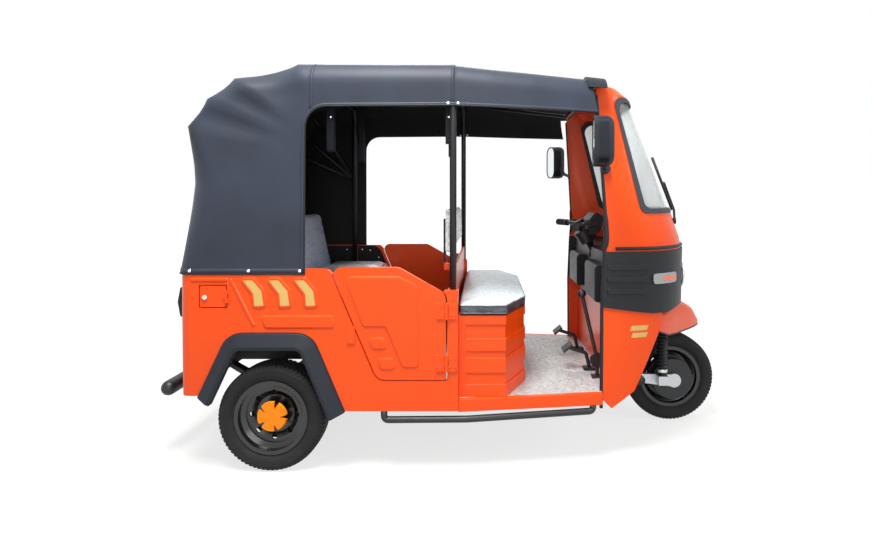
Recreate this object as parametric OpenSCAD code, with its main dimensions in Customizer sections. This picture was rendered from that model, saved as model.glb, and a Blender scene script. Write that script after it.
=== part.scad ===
// Three-wheeled auto rickshaw with a folding vinyl hood, half doors and handlebar steering.
// Millimetres. +X points to the front, +Y to the left side, +Z up. The origin lies on the ground
// under the middle of the vehicle.

/* [Overall] */
// Length from the rear bumper to the front tyre
overall_len = 2870; // [2840:5:2900]
// Distance between the front and the rear axle
wheelbase = 2040; // [2015:5:2065]
// Width across the painted side panels
body_w = 1280; // [1240:10:1320]
// Height of the hood over the main bow
roof_z = 1902; // [1870:2:1930]
// Thickness of the side and rear walls
panel_t = 25; // [20:1:30]

/* [Wheels] */
// Outer diameter of the tyres
tyre_d = 494; // [480:2:500]
// Width of the tyres
tyre_w = 135; // [125:1:140]
// Diameter over the rim flanges
rim_d = 340; // [330:2:346]
// Distance between the middles of the rear tyres
rear_track = 1160; // [1140:5:1170]
// Radius of the axle ends that the wheels turn on
axle_r = 20; // [16:1:22]
// Radial play of every turning fit
play = 0.3; // [0.2:0.05:0.4]
// Radius of the rear hub cap
cap_r = 71; // [60:1:80]

/* [Floor and chassis] */
// Height of the floor
floor_z = 330; // [320:2:340]
// Thickness of the floor plate
floor_t = 12; // [8:1:14]
// Half width of the floor at the driver's bench
floor_half_w = 606; // [590:2:612]
// Half width of the floor at the front pillars
floor_front_half_w = 533; // [520:1:545]
// Height of the chassis rails
rail_h = 56; // [50:2:60]
// Width of the chassis rails
rail_w = 40; // [36:2:46]
// Distance between the middles of the chassis rails
rail_gap = 640; // [620:5:660]
// Radius of the four tie-down holes in the rails
tie_hole_r = 6.5; // [5:0.5:8]
// Height of the middle of the step tube
step_z = 236; // [232:1:240]
// Radius of the step tube
step_r = 15.5; // [12:0.5:16]

/* [Side panels] */
// Height of the top edge of the side panels
waist_z = 935; // [925:5:945]
// Height of the rocker's lower edge
rocker_z = 280; // [275:5:285]
// Height of the door's lower edge
door_z = 424; // [415:1:435]
// Height of the door's upper edge
door_top_z = 942; // [935:1:955]
// Gap round the doors
door_gap = 6; // [5:0.5:8]
// Depth of the pressed ribs in the panels
rib_depth = 6; // [4:1:8]
// How far the pressed forms stand out of the side panels
press_out = 5; // [3:0.5:6]
// Width of the slope round the pressed forms
press_slope = 9; // [6:1:10]
// Distance between the slanted forms of the quarter panel
chevron_pitch = 119; // [112:1:125]
// How far the wheel arch flares stand out
flare_out = 40; // [34:1:44]
// Radius of the door hinge pins
hinge_pin_r = 5; // [4:0.5:5.5]

/* [Hood] */
// Thickness of the hood fabric
hood_t = 6; // [5:0.5:7]
// Radius of the hood tubes
tube_r = 16; // [14:0.5:17]
// Radius of the hood's shoulders
shoulder_r = 110; // [90:5:120]

/* [Seats] */
// Thickness of the driver's cushion
driver_pad_t = 64; // [56:2:72]
// Height of the driver's seat box
seat_box_top = 712; // [700:2:720]
// Height of the passenger seat deck
deck_z = 716; // [706:2:726]
// Thickness of the passenger cushion
passenger_pad_t = 112; // [100:2:120]

/* [Front] */
// Backward lean of the steering axis in degrees
rake = 27; // [26:0.5:28]
// Radius of the steering column
column_r = 24; // [20:1:26]
// Wall of the painted front shell
cowl_t = 14; // [12:1:16]
// Width of the handlebar over the grips
handlebar_w = 660; // [600:10:700]

/* [Hidden] */
$fn = 48;

tyre_r = tyre_d / 2;
half_w = body_w / 2;
front_x = overall_len / 2 - tyre_r;
rear_x = front_x - wheelbase;

// Middle column: the B-post, its two faces
post_front = front_x - 1175;
post_back = post_front - 50;
post_x = post_front - 25;
post_top_z = 836;
post_in = 65;
// Rear face of the body at waist height and its lean
body_back = rear_x - 431;
back_lean = 23;
body_low_z = 345;
corner_r = 60;
hood_corner_r = 75;
split_y = half_w - 70;
// Front shell, toe board and floor
pillar_x = front_x - 488;
bulk_x = front_x - 428;
bulk_t = 12;
dash_z = 700;
sill_t = 26;
sill_low_z = 272;
under_z = floor_z - floor_t;
riser_x = rear_x + 332;
deck_t = 20;
wall_in = half_w - panel_t;
// Door and hinges
door_front = post_back - door_gap;
hinge_x = post_back - door_gap / 2;
hinge_r = hinge_pin_r + 4;
hinge_y = half_w + hinge_r;
hinge_h = 75;
hinge_zs = [502, 742];
// Fuel flap on the right side
flap = [rear_x - 324, 760, 120, 97];
flap_gap = 5;
flap_t = 5;
flap_axis_x = flap[0] + flap[2] + flap_gap / 2;
flap_axis_y = half_w + 6;
// Steering axis, through the middle of the handlebar
bar_x = front_x - 498;
bar_z = 1110;
lug_y = tyre_w / 2 + 82;
link_y0 = tyre_w / 2 + 37;
link_t = 26;
pivot = [front_x - 202, 262];
shock_x = front_x - 76;
// Hood
hood_low = 912;
hood_back = rear_x - 445;
hood_open = rear_x + 161;
hood_half = half_w + hood_t + 0.6;
hood_front = front_x - 505;
bow_main = [rear_x + 90, roof_z];
bow_2 = [rear_x - 214, roof_z - 58];
bow_3 = [rear_x - 317, roof_z - 170];
bow_4 = [rear_x - 397, roof_z - 302];
hoop_top = roof_z - hood_t - tube_r - 4;
main_hoop_y = wall_in - tube_r - 2 * play;
hoop_y = half_w - 35;
bow_pivot = [rear_x + 90, roof_z - 517];

orange = [0.95, 0.34, 0.15];
black = [0.12, 0.12, 0.13];
grey = [0.35, 0.36, 0.38];
silver = [0.70, 0.71, 0.73];
fabric = [0.24, 0.26, 0.30];
padding = [0.62, 0.68, 0.75];

function xy(p) = [p[0], p[1]];
function unit(v) = v / norm(v);

// Arc that rounds the corner b between a and c
function corner_arc(a, b, c, r, n) =
    r <= 0 ? [b] :
    let (u = unit(a - b), v = unit(c - b), half = acos(u * v) / 2,
         centre = b + unit(u + v) * (r / sin(half)),
         p = b + u * (r / tan(half)) - centre, q = b + v * (r / tan(half)) - centre,
         a0 = atan2(p[1], p[0]), turn = ((atan2(q[1], q[0]) - a0 + 540) % 360) - 180)
    [for (i = [0 : n]) centre + r * [cos(a0 + turn * i / n), sin(a0 + turn * i / n)]];

// Closed outline whose corners are rows of [x, y, radius]
function rounded(rows, n = 6) =
    let (k = len(rows))
    [for (i = [0 : k - 1])
        each corner_arc(xy(rows[(i + k - 1) % k]), xy(rows[i]), xy(rows[(i + 1) % k]), rows[i][2], n)];

// The same corners with every side moved outward, rows counted anticlockwise
function grow(rows, d) =
    let (k = len(rows))
    [for (i = [0 : k - 1])
        let (b = xy(rows[i]), u = unit(b - xy(rows[(i + k - 1) % k])),
             v = unit(xy(rows[(i + 1) % k]) - b), nu = [u[1], -u[0]], nv = [v[1], -v[0]],
             bend = u[0] * v[1] - u[1] * v[0], m = (nu + nv) / (1 + nu * nv), p = b + m * d)
        [p[0], p[1], rows[i][2] <= 0 ? 0 : max(0, rows[i][2] + (bend > 0 ? d : -d))]];

// Outline in X and Z drawn out along Y from y0 to y1
module slab(points, y0, y1) {
    translate([0, y1, 0]) rotate([90, 0, 0]) linear_extrude(height = y1 - y0) polygon(points);
}

module box(x0, x1, y0, y1, z0, z1) {
    translate([x0, y0, z0]) cube([x1 - x0, y1 - y0, z1 - z0]);
}

module both_sides() {
    children();
    mirror([0, 1, 0]) children();
}

// Round bar from a to b
module rod(a, b, r) {
    d = b - a;
    translate(a) rotate([0, acos(d[2] / norm(d)), atan2(d[1], d[0])]) cylinder(r = r, h = norm(d));
}

// Cylinder along Y
module y_rod(x, z, r, y0, y1) {
    translate([x, y1, z]) rotate([90, 0, 0]) cylinder(r = r, h = y1 - y0);
}

// Open path through rows of [x, y, bend radius] with its bends rounded
function bent_path(rows, n = 6) =
    let (k = len(rows))
    concat([xy(rows[0])],
           [for (i = [1 : k - 2]) each corner_arc(xy(rows[i - 1]), xy(rows[i]), xy(rows[i + 1]), rows[i][2], n)],
           [xy(rows[k - 1])]);

// Left-hand normal of a path at its point i
function path_normal(path, i) =
    let (d = unit(path[min(i + 1, len(path) - 1)] - path[max(i - 1, 0)])) [-d[1], d[0]];

// Profile swept along a flat path of rows [x, y, bend radius]; profile x is the offset to the left
module swept(path) {
    k = len(path);
    function turn(i) = i == 0 || i == k - 1 ? 0 :
        let (u = unit(xy(path[i]) - xy(path[i - 1])), v = unit(xy(path[i + 1]) - xy(path[i])))
        atan2(u[0] * v[1] - u[1] * v[0], u * v);
    function cut(i) = abs(turn(i)) < 0.01 ? 0 : path[i][2] * tan(abs(turn(i)) / 2);
    for (i = [0 : k - 2]) {
        d = xy(path[i + 1]) - xy(path[i]);
        u = unit(d);
        s = xy(path[i]) + u * cut(i);
        translate([s[0], s[1], 0]) rotate([0, 0, atan2(u[1], u[0])]) rotate([90, 0, 90])
            linear_extrude(height = norm(d) - cut(i) - cut(i + 1)) children();
    }
    for (i = [1 : k - 2]) if (cut(i) > 0) {
        u = unit(xy(path[i]) - xy(path[i - 1]));
        left = turn(i) > 0;
        side = left ? [-u[1], u[0]] : [u[1], -u[0]];
        c = xy(path[i]) - u * cut(i) + side * path[i][2];
        a0 = atan2(-side[1], -side[0]);
        translate([c[0], c[1], 0]) rotate([0, 0, left ? a0 : a0 + turn(i)])
            rotate_extrude(angle = abs(turn(i)))
                translate([path[i][2], 0]) if (left) mirror([1, 0]) children(); else children();
    }
}

// Closed skin over sections that all have the same number of points
module loft(sections) {
    m = len(sections[0]);
    k = len(sections);
    points = [for (s = sections) each s];
    sides = [for (j = [0 : k - 2]) for (i = [0 : m - 1])
        let (a = j * m + i, b = j * m + (i + 1) % m)
        each [[a, b + m, b], [a, a + m, b + m]]];
    first_cap = [[for (i = [0 : m - 1]) i]];
    last_cap = [[for (i = [m - 1 : -1 : 0]) (k - 1) * m + i]];
    polyhedron(points, concat(first_cap, sides, last_cap));
}

// Path through points in space with its bends rounded
function bend_path(points, r, n = 5) =
    let (k = len(points))
    concat([points[0]],
           [for (i = [1 : k - 2])
               let (b = points[i], u = unit(points[i - 1] - b), v = unit(points[i + 1] - b),
                    half = acos(u * v) / 2, centre = b + unit(u + v) * (r / sin(half)),
                    e = unit(b + u * (r / tan(half)) - centre), f = unit(b + v * (r / tan(half)) - centre),
                    g = unit(f - e * (e * f)), sweep = acos(e * f))
               each [for (q = [0 : n]) centre + r * (e * cos(sweep * q / n) + g * sin(sweep * q / n))]],
           [points[k - 1]]);

// Sixteen-sided bar along a path, mitred at each of its points
module pipe(path, r) {
    k = len(path);
    dirs = [for (i = [0 : k - 2]) unit(path[i + 1] - path[i])];
    planes = [for (i = [0 : k - 1]) unit(dirs[max(i - 1, 0)] + dirs[min(i, k - 2)])];
    a = unit(cross(abs(dirs[0][2]) < 0.8 ? [0, 0, 1] : [1, 0, 0], dirs[0]));
    b = cross(dirs[0], a);
    first = [for (q = [0 : 15]) path[0] + r * (a * cos(22.5 * q) + b * sin(22.5 * q))];
    loft([for (i = 0, ring = first; i < k; i = i + 1,
               ring = i < k ? [for (v = ring) v + dirs[i - 1] * (((path[i] - v) * planes[i])
                                                                 / (dirs[i - 1] * planes[i]))] : ring)
        ring]);
}

// Front shell: height, rear edge and nose from the front axle, half width
screen_low = 1185;
screen_high = roof_z - 132;
screen_mid = screen_low + (screen_high - screen_low) * 295 / 585;
cowl_rows = [[236, -488, -20, half_w - 128], [480, -488, 0, half_w - 118], [726, -488, 14, half_w - 112],
             [1003, -476, 20, half_w - 112], [1060, -465, 8, half_w - 113],
             [screen_low, -470, -38, half_w - 118], [screen_mid, -488, -158, half_w - 130],
             [screen_high, -507, -277, half_w - 148], [screen_high + 38, -510, -335, half_w - 160],
             [screen_high + 56, -512, -400, half_w - 185]];
cowl_power = 2 / 2.6;

function cowl_section(row, inset, back) =
    let (xr = front_x + row[1] - back, xf = front_x + row[2] - inset, w = row[3] - inset, m = 12)
    [for (i = [-m : m]) let (t = 90 - 90 * abs(i) / m)
        [xr + (xf - xr) * pow(sin(t), cowl_power),
         (i < 0 ? -1 : 1) * w * pow(cos(t), cowl_power), row[0]]];

// Row of the front shell at height z
function cowl_row(z) =
    let (k = [for (i = [0 : len(cowl_rows) - 2]) if (z >= cowl_rows[i][0]) i],
         i = k[len(k) - 1], a = cowl_rows[i], b = cowl_rows[i + 1], s = (z - a[0]) / (b[0] - a[0]))
    a + (b - a) * s;

// Point of the front shell at height z and angle t from the pillar, standing off the skin
function cowl_point(z, t, off) =
    let (row = cowl_row(z), xr = front_x + row[1], xf = front_x + row[2] + off, w = row[3] + off)
    [xr + (xf - xr) * pow(sin(t), cowl_power), -w * pow(cos(t), cowl_power), z];

// Solid inside of the front shell; an inset one is open to the rear and below
module cowl_solid(inset) {
    last = len(cowl_rows) - 1;
    loft([for (i = [0 : last])
        let (row = cowl_rows[i], inner = inset > 0,
             z = inner && i == 0 ? row[0] - 30 : inner && i == last ? row[0] - inset : row[0])
        cowl_section([z, row[1], row[2], row[3]], inset, inner ? 40 : 0)]);
}

module cowl_skin(outer, inner) {
    difference() {
        cowl_solid(outer);
        cowl_solid(inner);
    }
}

// Lower edge of the nose band, from the pillar to the nose
band_low = [[pillar_x - 5, 738], [front_x - 228, 700], [front_x - 138, 698], [front_x - 60, 715],
            [front_x + 120, 715]];
function band_z(x) = lookup(x, band_low);
band_top = 1003;

function screen_outline(inset) =
    rounded([[front_x - 290 + inset, screen_low + 2 + inset, 45], [front_x + 110, screen_low + 2 + inset, 0],
             [front_x + 110, screen_high - 8 - inset, 0],
             [front_x - 428 + inset, screen_high - 8 - inset, 45]]);

// Position along X of the body's rear face at height z
function face_x(z) = body_back + back_lean * (waist_z - z) / (waist_z - body_low_z);

// Solid body tub, inset from the outer skin
module tub(inset) {
    intersection() {
        translate([0, 0, 200]) linear_extrude(height = waist_z - 200)
            polygon(rounded([[body_back + inset, -half_w + inset, corner_r - inset],
                             [post_front, -half_w + inset, 0], [post_front, half_w - inset, 0],
                             [body_back + inset, half_w - inset, corner_r - inset]]));
        slab([[face_x(200) + inset, 200], [post_front + 1, 200], [post_front + 1, waist_z],
              [face_x(waist_z) + inset, waist_z]], -half_w - 1, half_w + 1);
    }
}

door_rows = [[post_back - 543, door_top_z, 35], [post_back - 323, door_z, 55],
             [door_front, door_z, 8], [door_front, 818, 50], [post_back - 225, door_top_z, 60]];
// Raised field of the door and its small pads: x from the post, height, corner radius
door_press = [[-468, 895, 20], [-385, 674, 14], [-280, 674, 20], [-203, 486, 14], [-136, 486, 14],
              [-142, 856, 30], [-225, 895, 30]];
door_pad = [[-357, 613, 8], [-343, 571, 8], [-285, 571, 8], [-297, 613, 8]];
arch_rows = [[rear_x - 300, 330, 0], [rear_x - 172, 604, 70], [rear_x + 165, 604, 70],
             [rear_x + 310, 262, 0]];

// Pressed ribs of the quarter panel: rear end, front end, height, width
// x measured from the rear axle, height, corner radius
chevron_rows = [[-124, 883, 5], [-76, 822, 30], [-71, 766, 5], [-30, 768, 5], [-39, 834, 12], [-81, 883, 5]];
// Width of the slope, then the outline
quarter_presses = [[press_slope, [[-21, 668, 8], [290, 668, 8], [284, 715, 8], [-36, 715, 8]]],
                   [4, [[-80, 676, 3], [-72, 676, 3], [-179, 886, 3], [-187, 886, 3]]],
                   [4, [[-362, 882, 3], [-200, 882, 3], [-200, 890, 3], [-362, 890, 3]]]];
function shifted(rows, dx, dz) = [for (r = rows) [r[0] + dx, r[1] + dz, r[2]]];

// Form pressed out of a side panel, with sides that slope
module side_press(rows, slope) {
    loft([for (s = [[slope, 2], [slope, 0], [0, -press_out]])
        [for (p = rounded(grow(rows, s[0]), 4)) [p[0], -half_w + s[1], p[1]]]]);
}

// Right quarter panel with rocker, door opening, wheel arch and the B-post
module quarter(with_flap) {
    difference() {
        intersection() {
            difference() {
                tub(0);
                tub(panel_t);
            }
            slab(rounded([[body_back - 40, 350, 0], [rear_x, 350, 0], [rear_x, rocker_z, 0],
                          [post_front, rocker_z, 0], [post_front, post_top_z, 0],
                          [post_back - 12, post_top_z, 0], [post_back - 250, 600, 0],
                          [post_back - 552, waist_z, 30], [body_back - 40, waist_z, 0]]),
                 -half_w - 1, -split_y);
        }
        slab(rounded(grow(door_rows, door_gap)), -half_w - 1, -split_y + 1);
        slab(rounded(concat(arch_rows, [[rear_x + 330, 100, 0], [rear_x - 330, 100, 0]])),
             -half_w - 1, -split_y + 1);
        if (with_flap) fuel_pocket();
    }
    box(post_back, post_front, -half_w, -half_w + post_in, floor_z, post_top_z);
    hinge_posts();
    door_latch();
    for (press = quarter_presses) side_press(shifted(press[1], rear_x, 0), press[0]);
    for (k = [0 : 2]) side_press(grow(shifted(chevron_rows, rear_x + chevron_pitch * k, 0), 8), press_slope);
    if (with_flap) {
        filler_cap();
        flap_hinge_posts();
    }
}

module quarter_right() {
    color(orange) quarter(true);
}

module quarter_left() {
    color(orange) mirror([0, 1, 0]) quarter(false);
}

// Post side of the door hinges: plate, two knuckles and the pin
module hinge_posts() {
    third = hinge_h / 3;
    plate_x = hinge_x + hinge_r + 1;
    for (z = hinge_zs) {
        box(plate_x, post_front - 6, -half_w - 6, -half_w, z - hinge_h / 2, z + hinge_h / 2);
        for (k = [-1, 1])
            translate([hinge_x, -hinge_y, z + k * third - third / 2 + 0.5]) {
                cylinder(r = hinge_r, h = third - 1);
                translate([0, 2, 0]) cube([plate_x - hinge_x + 4, 5, third - 1]);
            }
        translate([hinge_x, -hinge_y, z - hinge_h / 2]) cylinder(r = hinge_pin_r, h = hinge_h);
    }
}

// Striker plate behind the door
module door_latch() {
    box(post_back - 462, post_back - 424, -half_w - 7, -half_w, 594, 670);
}

// Pocket and filler cap behind the fuel flap
module fuel_pocket() {
    box(flap[0] - flap_gap, flap[0] + flap[2] + flap_gap, -half_w - 1, -half_w + panel_t - 7,
        flap[1] - flap_gap, flap[1] + flap[3] + flap_gap);
}

module filler_cap() {
    y_rod(flap[0] + flap[2] / 2, flap[1] + flap[3] / 2, 30, -half_w + panel_t - 13,
          -half_w + panel_t - 6);
}

module flap_hinge_posts() {
    mid = flap[1] + flap[3] / 2;
    for (k = [-1, 1])
        translate([flap_axis_x, -flap_axis_y, mid + k * 20 - 8]) {
            cylinder(r = 6, h = 16);
            translate([2, 1, 0]) cube([14, 5, 16]);
        }
    translate([flap_axis_x, -flap_axis_y, mid - 28]) cylinder(r = 3, h = 56);
}

module fuel_flap() {
    mid = flap[1] + flap[3] / 2;
    color(orange) difference() {
        union() {
            slab(rounded([[flap[0], flap[1], 8], [flap[0] + flap[2], flap[1], 8],
                          [flap[0] + flap[2], flap[1] + flap[3], 8],
                          [flap[0], flap[1] + flap[3], 8]]), -half_w, -half_w + flap_t);
            y_rod(flap[0] + 20, mid, 11, -half_w - 5, -half_w + 1);
            translate([flap_axis_x, -flap_axis_y, mid - 11]) cylinder(r = 6, h = 22);
            box(flap_axis_x - 14, flap_axis_x - 1, -flap_axis_y, -half_w + 1, mid - 11, mid + 11);
        }
        translate([flap_axis_x, -flap_axis_y, mid - 30]) cylinder(r = 3 + play, h = 60);
    }
}

// Half door with a pressed border and its hinge straps
module door() {
    third = hinge_h / 3;
    plate_x = hinge_x - hinge_r - 1;
    difference() {
        union() {
            slab(rounded(door_rows), -half_w, -half_w + panel_t);
            side_press(shifted(door_press, post_back, 0), press_slope);
            for (k = [0, 1]) side_press(shifted(door_pad, post_back + 40 * k, -94 * k), press_slope);
            for (z = hinge_zs) {
                box(plate_x - 40, plate_x, -half_w - 6, -half_w, z - hinge_h / 2, z + hinge_h / 2);
                translate([hinge_x, -hinge_y, z - third / 2 + 0.5]) {
                    cylinder(r = hinge_r, h = third - 1);
                    translate([plate_x - hinge_x - 4, 2, 0]) cube([hinge_r + 5, 5, third - 1]);
                }
            }
        }
        for (z = hinge_zs)
            translate([hinge_x, -hinge_y, z - hinge_h]) cylinder(r = hinge_pin_r + play, h = 2 * hinge_h);
    }
}

module door_right() {
    color(orange) door();
}

module door_left() {
    color(orange) mirror([0, 1, 0]) door();
}

module rear_panel() {
    color(orange) difference() {
        intersection() {
            difference() {
                tub(0);
                tub(panel_t);
            }
            box(body_back - 40, body_back + 120, -split_y, split_y, 350, waist_z);
        }
        for (z = [470, 560])
            slab([[face_x(z) - 5, z], [face_x(z) + rib_depth, z], [face_x(z + 26) + rib_depth, z + 26],
                  [face_x(z + 26) - 5, z + 26]], -360, 360);
    }
}

// Tail lamps on the rear face: lower end, upper end, inner and outer side
module tail_lamps() {
    lamp = [668, 858, 430, 540];
    mid = (lamp[0] + lamp[1]) / 2;
    color([0.7, 0.08, 0.06]) both_sides()
        slab([[face_x(lamp[0]) - 4, lamp[0]], [face_x(lamp[0]) - play, lamp[0]], [face_x(lamp[1]) - play, lamp[1]],
              [face_x(lamp[1]) - 4, lamp[1]], [face_x(mid) - 24, mid + 26], [face_x(mid) - 24, mid - 14]],
             -lamp[3], -lamp[2]);
}

module rear_bumper() {
    r = 36;
    bx = -overall_len / 2 + r;
    bz = 340;
    color(black) {
        y_rod(bx, bz, r, -500, 500);
        for (y = [-500, 500]) translate([bx, y, bz]) sphere(r = r);
        both_sides()
            slab([[bx, bz - 14], [bx, bz + 14], [face_x(440) - 0.3, 440], [face_x(372) - 0.3, 372]],
                 -rail_gap / 2 - 15, -rail_gap / 2 + 15);
    }
}

// Seat riser and deck between the quarter panels
module seat_deck() {
    color(black) intersection() {
        tub(panel_t);
        slab([[riser_x, floor_z], [riser_x, deck_z], [body_back - 20, deck_z],
              [body_back - 20, deck_z - deck_t], [riser_x - deck_t, deck_z - deck_t],
              [riser_x - deck_t, floor_z]], -half_w, half_w);
    }
}

module passenger_cushion() {
    w = main_hoop_y - tube_r - 2;
    color(padding) {
        slab(rounded([[riser_x - 392, deck_z, 10], [riser_x + 12, deck_z, 20],
                      [riser_x + 12, deck_z + passenger_pad_t, 40],
                      [riser_x - 392, deck_z + passenger_pad_t, 10]]), -w, w);
    }
}

module passenger_backrest() {
    w = main_hoop_y - tube_r - 2;
    z0 = deck_z + passenger_pad_t;
    color(padding)
        slab(rounded([[riser_x - 480, deck_z, 10], [riser_x - 393, deck_z, 10],
                      [riser_x - 393, z0, 10], [riser_x - 470, 1160, 35],
                      [riser_x - 555, 1160, 35]]), -w, w);
}

// Floor with its opening over the engine
module floor_pan() {
    color(grey) difference() {
        union() {
            box(riser_x - deck_t, post_front, -wall_in, wall_in, under_z, floor_z);
            translate([0, 0, under_z]) linear_extrude(height = floor_t)
                polygon([[post_front, -floor_half_w], [pillar_x, -floor_front_half_w + 11],
                         [pillar_x, floor_front_half_w - 11], [post_front, floor_half_w]]);
            intersection() {
                cowl_solid(cowl_t + 0.5);
                box(pillar_x - 1, bulk_x + bulk_t, -600, 600, under_z, floor_z);
            }
        }
        box(post_front + 35, post_front + 310, -185, 185, under_z - 1, floor_z + 1);
    }
}

// Painted sills beside the driver's floor
module sills() {
    color(orange) both_sides() translate([0, 0, sill_low_z])
        linear_extrude(height = floor_z - sill_low_z)
            polygon([[post_front, -floor_half_w - sill_t], [pillar_x, -floor_front_half_w + 11 - sill_t],
                     [pillar_x, -floor_front_half_w + 11], [post_front, -floor_half_w]]);
}

// Point of the steering axis at height z
function axis_at(z) = [bar_x + (bar_z - z) * tan(rake), 0, z];

// Rails with a kick-up over the rear axle, cross members, head tube and its braces
rail_up = 430;
rail_low = under_z - rail_h;
tie_xs = [post_front - 313, post_front + 587];
module chassis_frame() {
    y0 = rail_gap / 2 - rail_w / 2;
    y1 = rail_gap / 2 + rail_w / 2;
    front = bulk_x + 34;
    kick = riser_x - 25;
    color(black) {
        difference() {
            union() {
                both_sides()
                    slab([[front, rail_low], [front, under_z], [kick, under_z],
                          [kick - 100, rail_up + rail_h],
                          [face_x(rail_up + rail_h) + panel_t, rail_up + rail_h],
                          [face_x(rail_up) + panel_t, rail_up], [kick - 70, rail_up],
                          [kick - 5, rail_low]], -y1, -y0);
                for (x = [kick + 10, post_front - 110, post_front + 340, bulk_x - 30])
                    box(x, x + 40, -y0 - 1, y0 + 1, rail_low + 8, under_z);
                for (x = [rear_x - 380, rear_x + 150])
                    box(x, x + 40, -y0 - 1, y0 + 1, rail_up, rail_up + rail_h);
            }
            for (x = tie_xs, y = [-1, 1])
                translate([x, y * rail_gap / 2, rail_low - 1]) cylinder(r = tie_hole_r, h = rail_h + 2);
        }
        difference() {
            union() {
                rod(axis_at(820), axis_at(660), column_r + play + 9);
                both_sides()
                    rod([front - 8, -rail_gap / 2, rail_low + 30], axis_at(745) + [0, -14, 0], 15);
            }
            rod(axis_at(900), axis_at(560), column_r + play);
        }
    }
}

// Driver's seat box over the engine: plan of its outer skin
function seat_plan(d) =
    [[post_front, -wall_in + 17 - d], [post_front + 222 + d / 2, -wall_in + 17 - d],
     [post_front + 329 + d, -363 - d / 2], [post_front + 329 + d, 363 + d / 2],
     [post_front + 222 + d / 2, wall_in - 17 + d], [post_front, wall_in - 17 + d]];

// Pressed bands round the seat box: height of the lower edge and width
seat_bands = [[388, 56], [512, 34], [602, 67]];

module seat_box() {
    color(orange) difference() {
        translate([0, 0, floor_z]) linear_extrude(height = seat_box_top - floor_z) polygon(seat_plan(0));
        translate([0, 0, floor_z - 1]) linear_extrude(height = seat_box_top - floor_z - 11)
            polygon(seat_plan(-12));
        for (k = [0 : 4])
            box(post_front + 300, post_front + 340, -240, 240, 430 + 44 * k, 446 + 44 * k);
        for (band = seat_bands) intersection() {
            difference() {
                translate([0, 0, band[0]]) linear_extrude(height = band[1]) polygon(seat_plan(5));
                translate([0, 0, band[0] - 1]) linear_extrude(height = band[1] + 2) polygon(seat_plan(-6));
            }
            box(post_front + 33, post_front + 400, -half_w, half_w, band[0] - 2, band[0] + band[1] + 2);
        }
    }
}

module engine() {
    ex = post_front + 45;
    color(silver) {
        box(ex, ex + 255, -165, 165, 195, 430);
        box(ex + 40, ex + 215, -120, 120, 429, 610);
        both_sides() box(ex + 100, ex + 150, -rail_gap / 2 + rail_w / 2, -164, 268, 306);
    }
}

module driver_cushion() {
    color(padding) {
        translate([0, 0, seat_box_top]) linear_extrude(height = driver_pad_t - 10) polygon(seat_plan(10));
        translate([0, 0, seat_box_top + driver_pad_t - 11]) linear_extrude(height = 11)
            polygon(seat_plan(-4));
    }
}

// Wall behind the driver with the stays of the backrest
part_x0 = post_front - 33;
part_x1 = post_front - 18;
back_x0 = part_x0 - 50;
module partition() {
    color(orange) {
        box(part_x0, part_x1, -half_w + post_in, half_w - post_in, floor_z, 930);
        for (y = [-250, 250])
            slab([[part_x0 + 1, 880], [part_x0 + 1, 915], [back_x0, 915], [back_x0, 1150],
                  [back_x0 - 12, 1150], [back_x0 - 12, 880]], y - 15, y + 15);
    }
}

module driver_backrest() {
    color(padding)
        slab(rounded([[back_x0, 977, 6], [back_x0 + 52, 977, 20], [back_x0 + 46, 1217, 20],
                      [back_x0, 1217, 14]]), -420, 420);
}

// Point on a sagging line from a to b, s from 0 to 1
function sagging(a, b, depth, n) =
    let (d = b - a, inward = unit([d[1], -d[0]]))
    [for (i = [0 : n - 1]) let (s = i / n) a + d * s + inward * depth * 4 * s * (1 - s)];

// Roof line of the hood from the rear hem over the bows to the middle hoop, run far down and forward
roof_mid = [post_x, roof_z - 2];
hood_line = concat([[hood_back - 7, 600]], sagging([hood_back, hood_low], bow_4, 9, 8),
                   sagging(bow_4, bow_3, 10, 6), sagging(bow_3, bow_2, 12, 6),
                   sagging(bow_2, bow_main, 14, 8), sagging(bow_main, roof_mid, 7, 8),
                   [roof_mid, [front_x, roof_z - 2], [front_x, 600]]);
hood_rows = [for (i = [len(hood_line) - 1 : -1 : 0]) [hood_line[i][0], hood_line[i][1], 0]];

// Solid inside of the rear hood
module hood_solid(inset) {
    top_w = half_w - 10 - inset;
    intersection() {
        slab([for (p = grow(hood_rows, -inset)) xy(p)], -half_w - 50, half_w + 50);
        translate([hood_back - 50, 0, 0]) rotate([90, 0, 90]) linear_extrude(height = post_x - hood_back + 50)
            polygon(rounded([[-hood_half + inset, 700, 0], [hood_half - inset, 700, 0],
                             [top_w, roof_z + 2 - inset, shoulder_r - inset],
                             [-top_w, roof_z + 2 - inset, shoulder_r - inset]]));
        translate([0, 0, 700]) linear_extrude(height = 1300)
            polygon(rounded([[hood_back + inset, -hood_half + inset, hood_corner_r - inset],
                             [post_x, -hood_half + inset, 0], [post_x, hood_half - inset, 0],
                             [hood_back + inset, hood_half - inset, hood_corner_r - inset]]));
    }
}

// Front roof from the middle hoop to the front edge: distance, half width and top of each section
roof_rows = [[0, 0, 0], [0.25, -6, -20], [0.5, -18, -37], [0.75, -40, -52], [1, -70, -66]];
function roof_section(row, inset, reach) =
    let (w = half_w - 10 + row[1] - inset, z = roof_z - 2 + row[2] - inset, r = shoulder_r - inset, n = 7,
         x = post_x + (hood_front + 60 - post_x) * row[0] + reach)
    concat([[x, w + 10, roof_z - 342]],
           [for (i = [0 : n]) let (a = 90 * i / n) [x, w - r + r * cos(a), z - r + r * sin(a)]],
           [for (i = [n : -1 : 0]) let (a = 90 * i / n) [x, -w + r - r * cos(a), z - r + r * sin(a)]],
           [[x, -w - 10, roof_z - 342]]);

module roof_solid(inset) {
    last = len(roof_rows) - 1;
    loft([for (i = [0 : last])
        roof_section(roof_rows[i], inset, inset <= 0 ? 0 : i == 0 ? -1 : i == last ? 1 : 0)]);
}

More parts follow.
